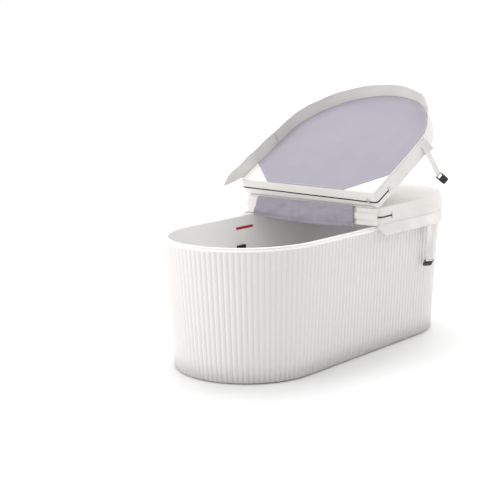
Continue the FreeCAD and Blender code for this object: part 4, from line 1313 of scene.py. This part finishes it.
class TUB_OT_zips(bpy.types.Operator):
    """Make the zips at the fold, with their teeth, end tacks, placket and slider"""
    bl_idname = "tub.zips"
    bl_label = "Zips"

    def execute(self, context):
        cover = context.scene.tub_cover
        tooth = small_solid("zip_tooth", ring_stack(((1.9, 0.7, -0.9), (1.9, 0.7, 0.9)), 3, 8))
        for half in HALVES:
            line = zip_line(half, cover, fit_gap)
            groups = [moved(strip(line, zip_half, zip_thickness), half.place)]
            for p, out in (line[0], line[-1]):
                tack = [(p, out), (p + Vector((tack_width, 0, 0)), out)]
                groups.append(moved(strip(tack, tack_half, tack_thickness), half.place))
            mesh = joined(half.name + "_zip_tape", groups)
            finished(mesh, "zip_black", half.body, [half.name + "_zip"], 40)
            line = [half.place(p) for p, out in zip_line(half, cover, fit_gap + teeth_lift)]
            along_paths(half.name + "_zip_teeth", [line], tooth, cover.tooth_step, "buckle_black", half.body)
        bpy.data.objects.remove(tooth)
        self.placket(HALVES[0], cover)
        self.slider(HALVES[1], cover)
        return {"FINISHED"}

    def placket(self, half, cover):
        """A strip of the skin that hides the zip along the fold of the half that stays down."""
        line = [(p, out) for p, out in zip_line(half, cover, fit_gap + placket_lift) if out.x < -0.9]
        rings = moved(strip(line, placket_half, placket_thickness), half.place)
        piece = finished(loft("fixed_zip_placket", rings), "vinyl_white", half.body, [], 40)

    def slider(self, half, cover):
        """The slider on the lid's zip: a waisted body, and a tab that hangs from it."""
        low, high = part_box("zip_slider")
        y = -(low.y + high.y) / 2

        def apart(spot):
            return abs(spot[0].y - y) + abs(spot[0].x - fold_gap)

        p, out = min(zip_line(half, cover, fit_gap), key=apart)
        body = ((5.4, 1.2, -7), (5.6, 1.8, -6.4), (4.6, 2.0, 0), (5.6, 1.8, 6.4), (5.4, 1.2, 7))
        tab = ((1.6, 0.5, -5), (2.9, 0.8, -6), (2.9, 0.8, -26), (2.2, 0.6, -28))
        spot = p + out * slider_lift
        rings = moved(ring_stack(body, 4, 20), lambda q: half.place(spot + Vector((q.y, q.z, q.x))))
        hung = p + out * tab_lift
        tabs = moved(ring_stack(tab, 4, 16), lambda q: half.place(hung + Vector((q.y, q.x, q.z))))
        finished(joined("zip_slider_cast", [rings, tabs]), "nickel", "zip_pull", ["zip_slider"], 40)


# Welt and tape at the fold


class TUB_OT_fold_tapes(bpy.types.Operator):
    """Make the welt and the tapes that join the two halves"""
    bl_idname = "tub.fold_tapes"
    bl_label = "Fold welt and tapes"

    def execute(self, context):
        low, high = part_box("hinge_welt")
        cord, tape, lid_tape = [], [], []
        base = panel_high.z + fit_gap
        start = welt_radius * 0.5
        for k in range(WELT_STEPS + 1):
            y = low.y + (high.y - low.y) * k / WELT_STEPS
            radius = welt_radius * (1 + 0.04 * noise.noise(Vector((0.2, y / welt_lump_size, 0.9))))
            middle = fold_axis + Vector((welt_place, y, 0))
            ring = rounded_ring(radius, radius, 0, 2, WELT_SIDES)
            cord.append([middle + Vector((p.x, 0, p.y)) for p in ring])
            lift = tape_ripple * (1 + noise.noise(Vector((0.7, y / tape_ripple_size, 0.1))))
            section = [(start, 0), (high.x, 0), (high.x + tape_round, tape_edge_middle), (high.x, tape_edge),
                       (high.x * 0.5, tape_thickness + lift), (start, tape_thickness)]
            tape.append([Vector((x, y, base + z)) for x, z in section])
            lid_tape.append([Vector((max(x, lid_tape_start), y, base + z)) for x, z in section])
        finished(joined("fold_welt", [cord, tape]), "vinyl_white", "fixed_half", ["hinge_welt"], 50)
        mesh = loft("lid_fold_tape", moved(lid_tape, lifted))
        finished(mesh, "vinyl_white", "lifted_half", ["lid_tape"], 50)
        return {"FINISHED"}


# Seams


def hem_line(path, ends, drop, lean, count):
    """Line of stitches on the outside of a skirt, a little above its lower edge."""
    depth = drop - hem_depth * 0.75
    proud = cloth_thickness * 0.75
    start, stop = ends(depth)
    line = []
    for k in range(count + 1):
        share = k / count
        root, out = path(start + (stop - start) * share)
        slope = lean(share)
        away = cloth_thickness / 2 + depth * math.sin(slope) + proud * math.cos(slope) + ruffle(root, depth)
        line.append(root + out * away + UP * (proud * math.sin(slope) - depth * math.cos(slope)))
    return line


class TUB_OT_stitches(bpy.types.Operator):
    """Sew the hems and the linings"""
    bl_idname = "tub.stitches"
    bl_label = "Stitches"

    def execute(self, context):
        cover = context.scene.tub_cover
        half = cover.stitch_length / 2
        rod = ((thread_tip, -1), (thread_radius, -0.7), (thread_radius, 0.7), (thread_tip, 1))
        stitch = small_solid("stitch", [rounded_ring(r, r, half * share, 2, 6) for r, share in rod])

        def sew(name, lines, body):
            along_paths(name, lines, stitch, cover.stitch_step, "webbing_white", body)

        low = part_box("fixed_lining")[0].z
        for part in HALVES:
            edge = lining_outline(stitch_inset)
            ring = [part.place(p + UP * (low + stitch_lift)) for p in edge + edge[:1]]
            sew(part.name + "_lining_stitches", [ring], part.body)
        line = hem_line(edge_path, fixed_ends, fixed_drop, fixed_lean, FIXED_SKIRT_STEPS)
        sew("fixed_hem_stitches", [line], "fixed_half")
        lines = [hem_line(end_path, end_ends, lid_drop, end_lean, END_SKIRT_STEPS),
                 hem_line(edge_path, tail_ends, lid_drop, tail_lean, TAIL_STEPS)]
        sew("lid_hem_stitches", moved(lines, lifted), "lifted_half")
        bpy.data.objects.remove(stitch)
        return {"FINISHED"}


# Pieces that keep their solid


class TUB_OT_fittings(bpy.types.Operator):
    """Give the solids that stay their finishes"""
    bl_idname = "tub.fittings"
    bl_label = "Basin and fittings"

    def execute(self, context):
        slots = {s["node"]: s["material_slot"] for s in frame["record"]["subparts"]}
        for name, node in frame["nodes"].items():
            if node.hide_render:
                continue
            node.data.materials.clear()
            node.data.materials.append(finishes[slots[name]])
        return {"FINISHED"}


# Stage


def floor_material(stage):
    """Pale studio floor: it shows near white to the camera and keeps the object's soft shadow."""
    material, tree, shader = start_material("pale_floor", 0.9)
    shader.inputs["Base Color"].default_value = stage.floor
    shader.inputs["Specular IOR Level"].default_value = 0.1
    shader.inputs["Emission Color"].default_value = (1, 1, 1, 1)
    place = add_node(tree, "ShaderNodeTexCoord").outputs["Object"]
    away = add_node(tree, "ShaderNodeVectorMath", {0: place}, operation="LENGTH").outputs["Value"]
    glow = add_node(tree, "ShaderNodeMapRange", {
        "Value": away, "From Min": glow_start, "From Max": glow_full,
        "To Min": 0.0, "To Max": stage.floor_glow})
    seen = add_node(tree, "ShaderNodeLightPath").outputs["Is Camera Ray"]
    shown = add_node(tree, "ShaderNodeMath", {0: glow.outputs["Result"], 1: seen}, operation="MULTIPLY")
    tree.links.new(shown.outputs["Value"], shader.inputs["Emission Strength"])
    return material


def soft_light(name, spot, aim, size, power):
    """A square soft light that faces a point."""
    data = bpy.data.lights.new(name, "AREA")
    data.energy = power
    data.shape = "SQUARE"
    data.size = size
    lamp = bpy.data.objects.new(name, data)
    lamp.location = spot
    lamp.rotation_euler = (Vector(aim) - Vector(spot)).to_track_quat("-Z", "Y").to_euler()
    bpy.context.scene.collection.objects.link(lamp)


def place_camera():
    """Set the camera where the photograph was taken from."""
    forward = turn_to(camera_yaw) * math.cos(camera_pitch) + UP * math.sin(camera_pitch)
    right = Vector((math.sin(camera_yaw), -math.cos(camera_yaw), 0))
    up = right.cross(forward)
    c, s = math.cos(camera_roll), math.sin(camera_roll)
    right, up = right * c + up * s, up * c - right * s
    data = bpy.data.cameras.new("photo_camera")
    data.lens = camera_lens
    data.sensor_width = camera_sensor
    data.clip_end = camera_reach
    camera = bpy.data.objects.new("photo_camera", data)
    turn = Matrix((right, up, -forward)).transposed().to_4x4()
    camera.matrix_world = Matrix.Translation(camera_place) @ turn
    bpy.context.scene.collection.objects.link(camera)
    bpy.context.scene.camera = camera


class TUB_OT_stage(bpy.types.Operator):
    """Set the floor, the lights and the camera"""
    bl_idname = "tub.stage"
    bl_label = "Stage"

    def execute(self, context):
        stage = context.scene.tub_stage
        mesh = bpy.data.meshes.new("studio_floor")
        corners = [(x * floor_reach, y * floor_reach, 0) for x, y in ((-1, -1), (1, -1), (1, 1), (-1, 1))]
        mesh.from_pydata(corners, [], [(0, 1, 2, 3)])
        mesh.materials.append(floor_material(stage))
        floor = bpy.data.objects.new("studio_floor", mesh)
        context.scene.collection.objects.link(floor)
        soft_light("top_softbox", *TOP_LIGHT, stage.key_power)
        soft_light("end_softbox", *END_LIGHT, stage.fill_power)
        soft_light("back_softbox", *BACK_LIGHT, stage.back_power)
        soft_light("side_softbox", *SIDE_LIGHT, stage.side_power)
        world = bpy.data.worlds.new("studio")
        world.use_nodes = True
        tree = world.node_tree
        tree.nodes.clear()
        seen = add_node(tree, "ShaderNodeLightPath").outputs["Is Camera Ray"]
        strength = add_node(tree, "ShaderNodeMapRange", {"Value": seen, "To Min": stage.sky, "To Max": 1.0})
        sky = add_node(tree, "ShaderNodeBackground", {
            "Strength": strength.outputs["Result"], "Color": (1, 1, 1, 1)})
        add_node(tree, "ShaderNodeOutputWorld", {"Surface": sky.outputs["Background"]})
        context.scene.world = world
        context.scene.view_settings.view_transform = "Standard"
        place_camera()
        return {"FINISHED"}


class TUB_PT_panel(bpy.types.Panel):
    """Sizes, colours and steps of the tub"""
    bl_idname = "TUB_PT_panel"
    bl_label = "Cold plunge tub"
    bl_space_type = "VIEW_3D"
    bl_region_type = "UI"
    bl_category = "Tub"

    def draw(self, context):
        for settings in (context.scene.tub_wall, context.scene.tub_cover, context.scene.tub_stage):
            for key in settings.__annotations__:
                self.layout.prop(settings, key)
        for step in tub_steps:
            self.layout.operator(step.bl_idname)


tub_steps = (
    TUB_OT_outer_wall, TUB_OT_jackets, TUB_OT_linings, TUB_OT_skirts, TUB_OT_flap, TUB_OT_straps, TUB_OT_zips,
    TUB_OT_fold_tapes, TUB_OT_stitches, TUB_OT_fittings, TUB_OT_stage,
)
classes = (TubWallSettings, CoverSettings, StageSettings, *tub_steps, TUB_PT_panel)
finishes = {}


def register():
    for cls in classes:
        bpy.utils.register_class(cls)
    bpy.types.Scene.tub_wall = bpy.props.PointerProperty(type=TubWallSettings)
    bpy.types.Scene.tub_cover = bpy.props.PointerProperty(type=CoverSettings)
    bpy.types.Scene.tub_stage = bpy.props.PointerProperty(type=StageSettings)


def unregister():
    del bpy.types.Scene.tub_stage
    del bpy.types.Scene.tub_cover
    del bpy.types.Scene.tub_wall
    for cls in reversed(classes):
        bpy.utils.unregister_class(cls)


def main():
    register()
    scene = bpy.context.scene
    finishes.update(make_materials(scene.tub_wall, scene.tub_cover))
    bpy.ops.tub.outer_wall()
    bpy.ops.tub.jackets()
    bpy.ops.tub.linings()
    bpy.ops.tub.skirts()
    bpy.ops.tub.flap()
    bpy.ops.tub.straps()
    bpy.ops.tub.zips()
    bpy.ops.tub.fold_tapes()
    bpy.ops.tub.stitches()
    bpy.ops.tub.fittings()
    bpy.ops.tub.stage()


if __name__ == "__main__":
    main()
